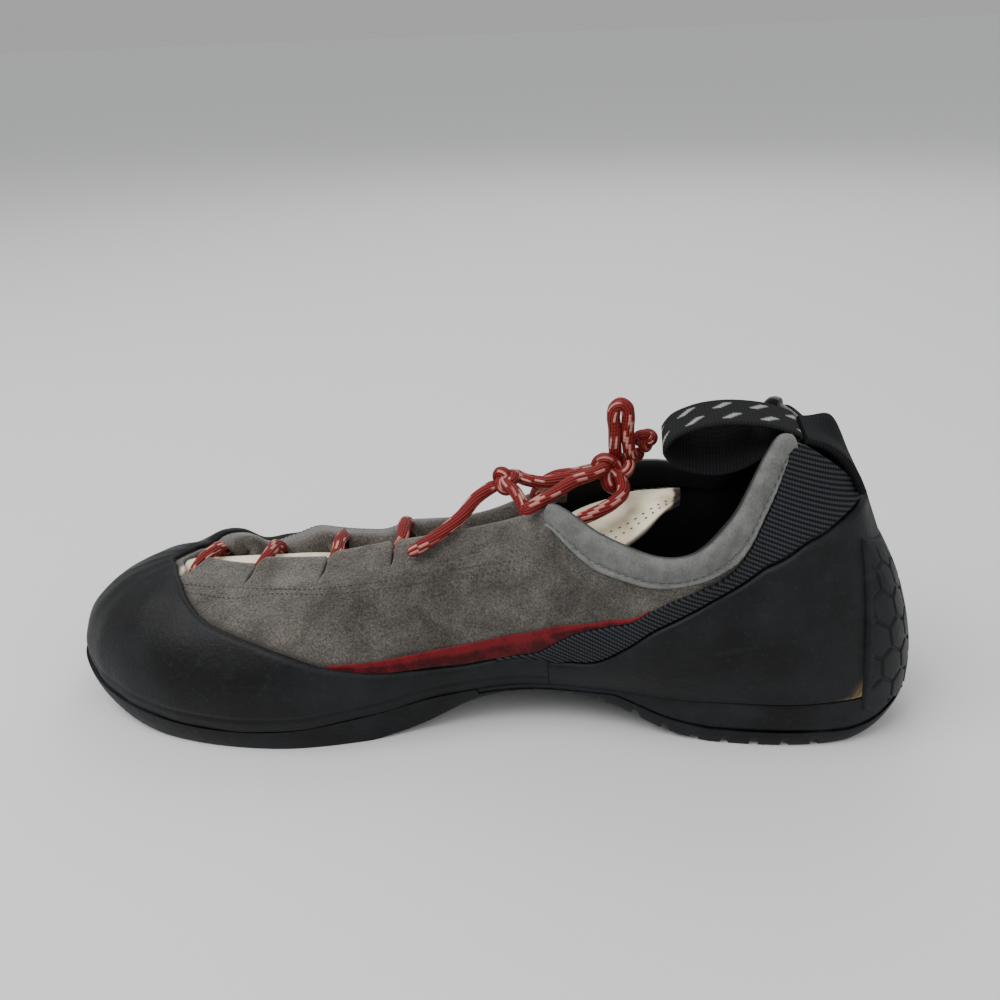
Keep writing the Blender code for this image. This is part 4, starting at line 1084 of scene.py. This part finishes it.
def addHeelWrap(look):
    # The outsole runs up the back of the heel as a tapering shield with hexagons in its face.
    share, up = np.meshgrid(np.linspace(-1, 1, 240), np.linspace(-0.06, look["height"], 200), indexing="ij")
    width = 1.0 - 0.5 * np.clip(up, 0, 1) ** 1.5
    angle = look["angle"] * share * width
    nearEdge = np.minimum(1 - np.abs(share), (look["height"] - up) * 1.6)
    rounded = 0.45 * fade(0, 0.02, nearEdge) + 0.55 * np.sin(np.clip(nearEdge / 0.42, 0, 1) * np.pi / 2)
    groove = 1 - fade(0.02, 0.08, hexEdge(share * width * 0.0335 / look["hexSize"], up * 0.062 / look["hexSize"]))
    field = fade(0.04, 0.10, nearEdge)
    lift = shoe["overlayGap"] + 0.0017 + look["thickness"] * rounded - look["hexDepth"] * groove * field

    def place(away):
        made = wall(angle, np.maximum(up, 0.0), away)
        made[..., 2] += np.where(up < 0, 4 * shoe["heelStack"] * up, 0)
        return made

    grid = np.concatenate([place(lift), place(shoe["overlayGap"] + 0.0010)[:, ::-8]], axis=1)
    finishPiece(bodyPiece("heelWrap", grid, soleRubber, 45), "outsole_rubber")


def addLayer(name, low, high, margins, front, material, slot, replaced):
    # A plain layer between two heights, with a softly rounded edge.
    stations = shoe["length"] / 2 * np.cos(np.linspace(0, np.pi, 260))
    stations = stations[stations > front][:, None]
    share = eased(30)[None, :]
    x, y = soleSpan(stations, share, *margins)
    bottom, top = low(x, y), high(x, y)
    middle = (bottom + top) / 2
    soft = np.sqrt(np.clip(np.minimum(share, 1 - share) / 0.004, 0.5, 1))
    lower, upper = (np.stack([x, y, middle + (z - middle) * soft], axis=-1) for z in (bottom, top))
    finishPiece(bodyPiece(name, np.concatenate([lower, upper[:, ::-1]], axis=1), material, 60), slot, replaced)


def addSole(look):
    addOutsole(look)
    addHeelWrap(wrapLook)
    front = shoe["length"] * (0.5 - look["midsoleFront"])
    addLayer("midsoleWedge", lambda x, y: outsoleTop(x, y, look) + 0.00005, lambda x, y: footSurface(x, y) - look["gap"],
             (0.0, 0.0014, 0.0003), front - 0.0012, soleRubber, "wedge_rubber", "midsole")
    addLayer("insoleFoam", lambda x, y: footSurface(x, y) + look["gap"], lambda x, y: footSurface(x, y) + 0.0033,
             (0.0072, 0.0086, 0.0060), -0.130, lining, "insole_fabric", "insole")


addSole(soleLook)
print("sole made")

# Webbing paths: back as a share of the length, height as a share of the instep height
webbingLook = {
    "strap": ((0.0812, 1.024), (0.0893, 1.086), (0.1025, 1.156), (0.1230, 1.212), (0.1440, 1.236)),
    "loop": ((0.15, 1.25), (0.17, 1.285), (0.20, 1.305), (0.23, 1.305), (0.26, 1.28), (0.281, 1.235), (0.288, 1.185),
             (0.28, 1.14), (0.256, 1.105), (0.228, 1.10), (0.204, 1.13), (0.183, 1.185), (0.166, 1.225)),
    "width": 0.020,
    "strapThickness": 0.0024,
    "loopThickness": 0.0013,
    "loopTilt": 0.36,
}


def bandPiece(name, path, width, thickness, closed, tilt=0.0, across=26):
    # A flat band carried along a path in the plane y = 0, with rounded edges. The far edge of a closed
    # band's lower run can rise, and an open one rides up over the far corner of the collar.
    out = np.cross(directions(path, closed), np.array([0.0, 1.0, 0.0]))
    share = np.linspace(-1, 1, across)
    half = thickness / 2 * np.sqrt(np.clip(1 - np.clip((np.abs(share) - 0.90) / 0.10, 0, 1) ** 2, 0.06, 1))
    offsets = np.concatenate([half, -half[::-1]])
    places = np.concatenate([share, share[::-1]]) * width / 2
    grid = path[:, None] + out[:, None] * offsets[:, None] + places[:, None] * np.array([0.0, 1.0, 0.0])
    uv = np.meshgrid(np.append(places, places[0]) + width / 2, runAlong(path, closed))
    if closed:
        lower = fade(-0.001, -0.006, path[:, 2:] - path[:, 2].mean())
        grid[..., 2] += tilt * lower * (places + width / 2)
    else:
        hump = np.exp(-((np.linspace(0, 1, len(path)) - 0.60) / 0.22) ** 2)[:, None]
        grid[..., 2] += 0.0042 * hump * fade(-0.002, 0.010, places)
    # slanted pale dashes in two rows, on the outside of the loop
    slant = np.mod(arcLength(path)[:, None] / 0.0105 + places * 90, 1.0)
    pale = fade(0.34, 0.38, slant) * fade(0.62, 0.58, slant) * (np.abs(np.abs(places) - 0.0042) < 0.0022)
    pale = 0.55 * pale * (np.arange(2 * across) >= across) * closed
    return gridPiece(name, grid, [webbing], closed, True, not closed, uv, {"pale": pale}, sharp=55)


def addWebbing(look):
    for key, count, closed, tilt in (("strap", 160, False, 0.0), ("loop", 420, True, look["loopTilt"])):
        back, height = np.array(look[key]).T
        points = np.stack([shoe["length"] * (0.5 - back), 0 * back, shoe["instepHeight"] * height], axis=1)
        path = curveThrough(points, count, closed)
        piece = bandPiece("pull" + key.capitalize(), path, look["width"], look[key + "Thickness"], closed, tilt)
        finishPiece(piece, "black_webbing", "pull_" + key)


addWebbing(webbingLook)
print("pull loop made")

lace = {"radius": 0.0020, "tabFoot": 0.765, "tabDepth": 0.0077}

# Route through the tabs and over the tongue: along, across (-1 medial, 1 lateral), rise of the instep height
laceRoute = np.array([
    (0.890, -1, 0), (0.910, -1, 0), (0.927, -1, 0), (0.940, -0.92, 0.022), (0.933, -0.60, 0.060), (0.922, -0.10, 0.078),
    (0.922, 0.40, 0.066), (0.930, 0.80, 0.036), (0.938, 0.97, 0.000), (0.922, 1, 0), (0.888, 1, 0), (0.860, 1, -0.02),
    (0.840, 0.93, 0.000), (0.828, 0.70, 0.050), (0.826, 0.25, 0.092), (0.823, -0.25, 0.088), (0.826, -0.70, 0.060),
    (0.832, -0.93, 0.022), (0.820, -1, 0), (0.783, -1, 0), (0.751, -1, 0), (0.731, -0.93, 0.023), (0.718, -0.65, 0.070),
    (0.720, -0.20, 0.098), (0.722, 0.25, 0.090), (0.728, 0.70, 0.055), (0.738, 0.93, 0.000), (0.726, 1, -0.035),
    (0.695, 1, -0.035),
    (0.668, 1, -0.03), (0.648, 0.93, 0.005), (0.635, 0.70, 0.068), (0.632, 0.25, 0.103), (0.626, -0.25, 0.103),
    (0.624, -0.70, 0.075), (0.634, -0.93, 0.022), (0.620, -1, 0), (0.600, -1, 0),
])


def tunnelPlace(along, side):
    # Middle of the fold on one side: half way up the tab and half its depth inside the wall.
    return wall(side * angleOf(along), (1 + lace["tabFoot"]) / 2, -lace["tabDepth"] / 2)


def lacePlace(rows):
    # Between the two folds, raised by a share of the instep height.
    medial, lateral = tunnelPlace(rows[:, 0], 1), tunnelPlace(rows[:, 0], -1)
    share = (rows[:, 1:2] + 1) / 2
    return medial + (lateral - medial) * share + rows[:, 2:] * np.array([0, 0, shoe["instepHeight"]])


def addCrossings(rows):
    path = curveThrough(lacePlace(rows), 900)
    piece = tubePiece("laceCrossings", path, lace["radius"], redCord)
    finishPiece(piece, "red_cord", "lace_crossings")


addCrossings(laceRoute)

# Knot and loose ends, in millimetres
cordLook = {
    "run": ((17.0, -12.5, 63.5), (17.0, -10.5, 68.0), (14.0, -6.5, 72.5), (10.4, -2.6, 74.6), (12.6, 0.6, 75.2),
            (16.5, -0.6, 74.4), (22.0, -0.6, 73.6), (28.0, -0.5, 75.0), (35.0, -0.8, 77.0), (40.5, -1.2, 78.6),
            (44.8, -3.2, 76.8), (46.2, -7.0, 74.2), (43.1, -11.0, 71.9), (38.1, -13.5, 69.8), (32.6, -15.0, 67.9)),
    "loop": ((17.0, 12.3, 59.0), (19.0, 10.5, 66.0), (25.0, 6.5, 72.5), (33.0, 4.0, 75.0), (39.8, 2.6, 77.5),
             (43.2, 1.4, 81.5), (43.4, -1.0, 87.0), (43.3, -1.0, 92.0), (42.9, -1.0, 96.0), (43.4, -1.0, 98.3),
             (45.0, -1.0, 99.4), (46.7, -1.0, 98.3), (47.2, -1.0, 96.0), (47.1, -1.0, 92.0), (47.4, -0.8, 87.0),
             (48.2, 0.8, 82.8), (49.6, 3.2, 81.0), (51.6, 4.6, 83.2)),
    "endFront": ((41.8, -2.6, 79.8), (40.0, -4.6, 80.2), (37.4, -6.8, 79.6), (32.0, -9.8, 78.6), (26.0, -13.4, 75.8),
                 (16.8, -18.8, 72.0)),
    "endLow": ((8.2, -2.2, 73.6), (5.0, -2.8, 71.9), (1.5, -5.0, 69.8), (-2.5, -8.5, 65.7), (-10.0, -13.0, 60.6),
               (-18.6, -16.4, 55.8)),
    # middle, direction that it faces, size of the loop, how far the strands weave
    "knots": {
        "main": ((43.0, -1.0, 78.0), (0.10, -0.88, 0.42), 5.2, 2.0, 1.95),
        "front": ((10.4, -1.2, 74.4), (-0.10, -0.80, 0.56), 3.0, 1.4, 1.85),
        "back": ((52.4, 4.6, 86.0), (0.25, -0.90, 0.30), 2.2, 1.1, 1.75),
    },
}


def knotPiece(name, look):
    # Overhand knot: a trefoil, x = sin t + 2 sin 2t, y = cos t - 2 cos 2t, z = -sin 3t, turned to face one way.
    middle, facing, size, weave, radius = look
    t = np.linspace(0, 2 * np.pi, 241)[:-1]
    flat = np.stack([np.sin(t) + 2 * np.sin(2 * t), np.cos(t) - 2 * np.cos(2 * t)], axis=1) / 3 * size
    front = unit(np.array(facing))
    right = unit(np.cross(np.array([0.0, 0.0, 1.0]), -front))
    above = np.cross(right, front)
    path = np.array(middle) + flat[:, :1] * right + flat[:, 1:] * above - np.sin(3 * t)[:, None] * weave * front
    return tubePiece(name, path / 1000, radius / 1000, redCord, closed=True)


def cordPiece(name, route, replaced):
    path = curveThrough(np.array(route) / 1000, 240)
    piece = tubePiece(name, path, lace["radius"], redCord)
    finishPiece(piece, "red_cord", *replaced)


def addCords(look):
    knots = {key: knotPiece(f"laceKnot{key.capitalize()}", value) for key, value in look["knots"].items()}
    for key, piece in knots.items():
        finishPiece(piece, "red_cord", f"lace_knot_{key}")
    cordPiece("laceRun", look["run"], ("lace_run", "lace_end_top"))
    cordPiece("laceLoop", look["loop"], ("lace_loop", "lace_strand_back"))
    cordPiece("laceEndFront", look["endFront"], ("lace_end_front",))
    cordPiece("laceEndLow", look["endLow"], ("lace_end_low",))


addCords(cordLook)
print("knot and lace ends made")
